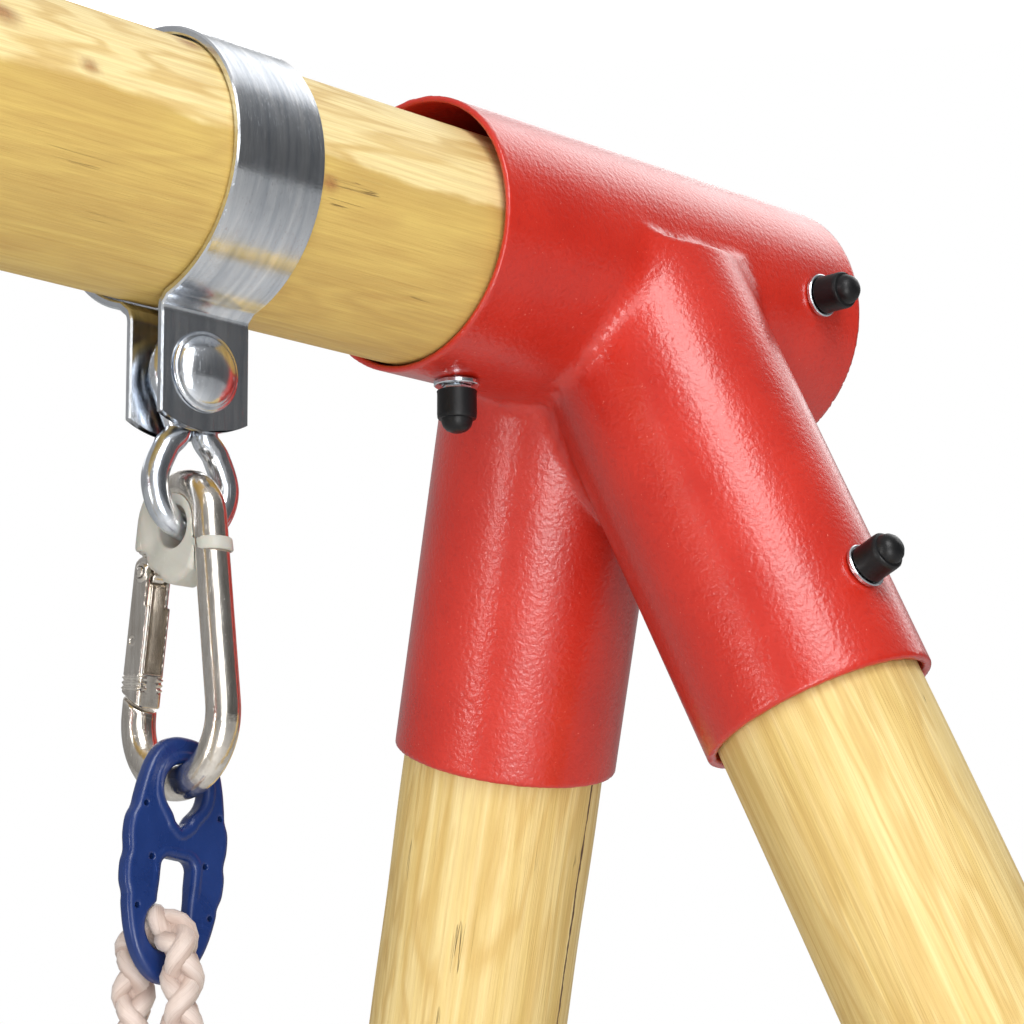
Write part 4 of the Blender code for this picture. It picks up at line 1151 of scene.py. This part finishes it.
def make_ropes():
    route = rope_route()
    points, faces, grain = braid(route, 1.7)
    ropes = pair("rope", (points, faces), HANGER_X, "rope_fibre", "line_{}")
    foot = SEAT_TOP - SEAT_THICKNESS - KNOT_DROP - BEAM_HEIGHT / MM
    for obj in ropes:
        store(obj, "grain", grain)
    knots = {"right": [], "left": []}
    for row, name in ((-1, "front"), (1, "rear")):
        path = knot_path(row * SEAT_HOLE_Y, foot)
        points, faces, grain = braid(path, 1.6, KNOT_SCALE, (0.0, 0.0, 1.0), 8)
        made = pair(f"knot_{name}", (points, faces), HANGER_X, "rope_fibre", "line_{}")
        for obj, (_, word) in zip(made, SIDES):
            store(obj, "grain", grain)
            knots[word].append(obj)
    line, _ = even_steps(smooth_through(route, 8), 6.0)
    line = np.vstack([line, route[-1]])
    for obj, (side, word) in zip(ropes, SIDES):
        path, _ = mirrored(to_world(line, HANGER_X), [], side)


# ---- seat


def seat_field(points):
    """The moulded plank: round corners, a dish with grip ribs, lips round the rope holes, ribs below."""
    x, y, z = points[..., 0], points[..., 1], points[..., 2] + SEAT_THICKNESS / 2 - SEAT_TOP
    past_x, past_y = np.abs(x) - SEAT_CORNER[0], np.abs(y) - SEAT_CORNER[1]
    corner = np.hypot(np.maximum(past_x, 0), np.maximum(past_y, 0)) - SEAT_CORNER_RADIUS
    holes = np.hypot(np.abs(x) - HANGER_X / MM, np.abs(y) - SEAT_HOLE_Y)
    inner = np.clip((-corner - 14) / 10, 0, 1) * np.clip((holes - 15) / 6, 0, 1)
    ribs = 0.55 * np.cos(np.clip(y, -66, 66) / 11 * 6.283)
    top = z - SEAT_THICKNESS / 2 + inner * (1.7 + ribs * 0.9)
    body = smooth_max(corner, -z - SEAT_THICKNESS / 2, 6.0)
    body = smooth_max(body, top, 5.0)
    cells = np.maximum(np.abs((x + 210) % 60 - 30) - 27, np.abs((y + 45) % 45 - 22.5) - 19.5)
    hollow = np.maximum.reduce([corner + 5, cells, z - 4.0, 17.0 - holes])
    body = smooth_max(body, -hollow, 1.5)
    return smooth_max(body, 8.5 - holes, 1.5)


def make_seat():
    low, high = (-251, -91, SEAT_TOP - SEAT_THICKNESS - 1), (251, 91, SEAT_TOP + 1)
    points, faces = skin(seat_field, low, high, 2.0)
    obj = mesh_piece("seat_shape", points * MM, faces, "blue_plastic", "seat", ["seat"])
    obj.data.set_sharp_from_angle(angle=math.radians(50))


def finish_carried_nodes():
    """The CAD nodes that stay in view take the same procedural finishes."""
    for name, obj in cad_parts.items():
        if name.startswith(("screw", "bush")):
            for item in obj.material_slots:
                item.material = MATERIALS["zinc_plated_steel"]


# ---- floor, light and camera


def make_floor():
    mesh = bpy.data.meshes.new("floor")
    corners = [(x * FLOOR_HALF, y * FLOOR_HALF, 0) for x, y in ((-1, -1), (1, -1), (1, 1), (-1, 1))]
    mesh.from_pydata(corners, [], [(0, 1, 2, 3)])
    material, shader = new_material("pale_floor", Roughness=0.8)
    speckle = noise(place_of(shader), 40.0, 4.0, 0.6)
    connect(shader, Base_Color=mixed(speckle, (0.80, 0.80, 0.79), (0.84, 0.84, 0.83)))
    mesh.materials.append(material)
    floor = placed("floor", mesh)
    floor.location.z = -0.0005


SOFTBOX_TOWARDS = (0.70, 0.11, 0.70)  # the bright patch of the studio that the bands show
STRIP_HEIGHT = 0.40  # the bright strip that lies along the top of the brackets' tubes
VIEW_FROM = Vector((-0.3080, -0.6586, 1.7175))
VIEW_RIGHT = Vector((0.7008, -0.7133, -0.0094)).normalized()
VIEW_AHEAD = Vector((0.6992, 0.6843, 0.2067)).normalized()


def facing(direction, axis):
    """How nearly a direction points along an axis: 1 along it, 0 across it."""
    values = {0: direction, 1: tuple(axis)}
    return add("ShaderNodeVectorMath", values, operation="DOT_PRODUCT").outputs["Value"]


def make_world():
    """White to the camera. Bright metal sees it greyer below and behind, with a softbox and a strip."""
    world = bpy.data.worlds.new("studio")
    bpy.context.scene.world = world
    world.use_nodes = True
    tree = world.node_tree
    direction = add("ShaderNodeTexCoord", tree=tree).outputs["Generated"]
    height = add("ShaderNodeSeparateXYZ", {"Vector": direction}).outputs["Z"]
    ahead = facing(direction, VIEW_AHEAD)
    right = facing(direction, VIEW_RIGHT)
    softbox = ramp(facing(direction, SOFTBOX_TOWARDS), 0.90, 0.975, 0.0, 0.95)
    strip = ramp(distance_from(height, STRIP_HEIGHT), 0.03, 0.06, 1.9, 0.0)
    sky = times(ramp(height, -0.4, 0.9, 0.20, 0.50), ramp(right, 0.30, 0.90, 1.0, 0.35))
    sky = plus(plus(sky, softbox), times(strip, ramp(ahead, 0.5, 0.8)))
    seen = add("ShaderNodeLightPath", tree=tree).outputs["Is Camera Ray"]
    front = ramp(ahead, 0.55, 0.95, 0.0, 0.34)
    level = maths("MAXIMUM", maths("MAXIMUM", sky, front), seen)
    shade = add("ShaderNodeCombineColor", {"Red": level, "Green": level, "Blue": level})
    tree.links.new(shade.outputs[0], tree.nodes["Background"].inputs["Color"])
    tree.nodes["Background"].inputs["Strength"].default_value = 1.0


def make_lights():
    corner, seat = (0.33, 0.0, 1.90), (0.0, 0.0, 0.5)
    for name, place, target, size, power in (
        ("key_softbox", (-0.7, -1.6, 3.4), corner, (1.2, 1.2), 33),
        ("right_softbox", (2.1, 0.1, 3.5), corner, (1.3, 0.9), 4.5),
        ("rim_strip", (1.6, 1.5, 3.2), corner, (1.8, 0.10), 1.6),
        ("side_strip", (-1.6, 0.1, 1.8), corner, (0.28, 1.5), 16),
        ("low_fill", (-1.0, -1.9, 0.9), corner, (1.0, 1.0), 25),
        ("seat_fill", (-1.5, -2.5, 2.2), seat, (1.6, 1.6), 22),
    ):
        light = bpy.data.lights.new(name, "AREA")
        light.shape = "RECTANGLE"
        light.size, light.size_y = size
        light.energy = power
        obj = placed(name, light)
        obj.location = place
        obj.rotation_mode = "QUATERNION"
        obj.rotation_quaternion = (Vector(target) - Vector(place)).to_track_quat("-Z", "Y")


def make_camera():
    data = bpy.data.cameras.new("camera")
    data.sensor_width = 36
    data.lens = LENS
    data.clip_start = 0.01
    obj = placed("camera", data)
    up = VIEW_RIGHT.cross(VIEW_AHEAD)
    turn = Matrix((VIEW_RIGHT, up, -VIEW_AHEAD)).transposed().to_4x4()
    obj.matrix_world = Matrix.Translation(VIEW_FROM) @ turn
    bpy.context.scene.camera = obj
    bpy.context.scene.view_settings.view_transform = "Standard"


make_timber()
make_brackets()
make_caps()
make_bands()
make_bolts()
make_links()
make_hooks()
make_rings()
make_ropes()
make_seat()
finish_carried_nodes()
make_floor()
make_world()
make_lights()
make_camera()

bpy.context.view_layer.update()
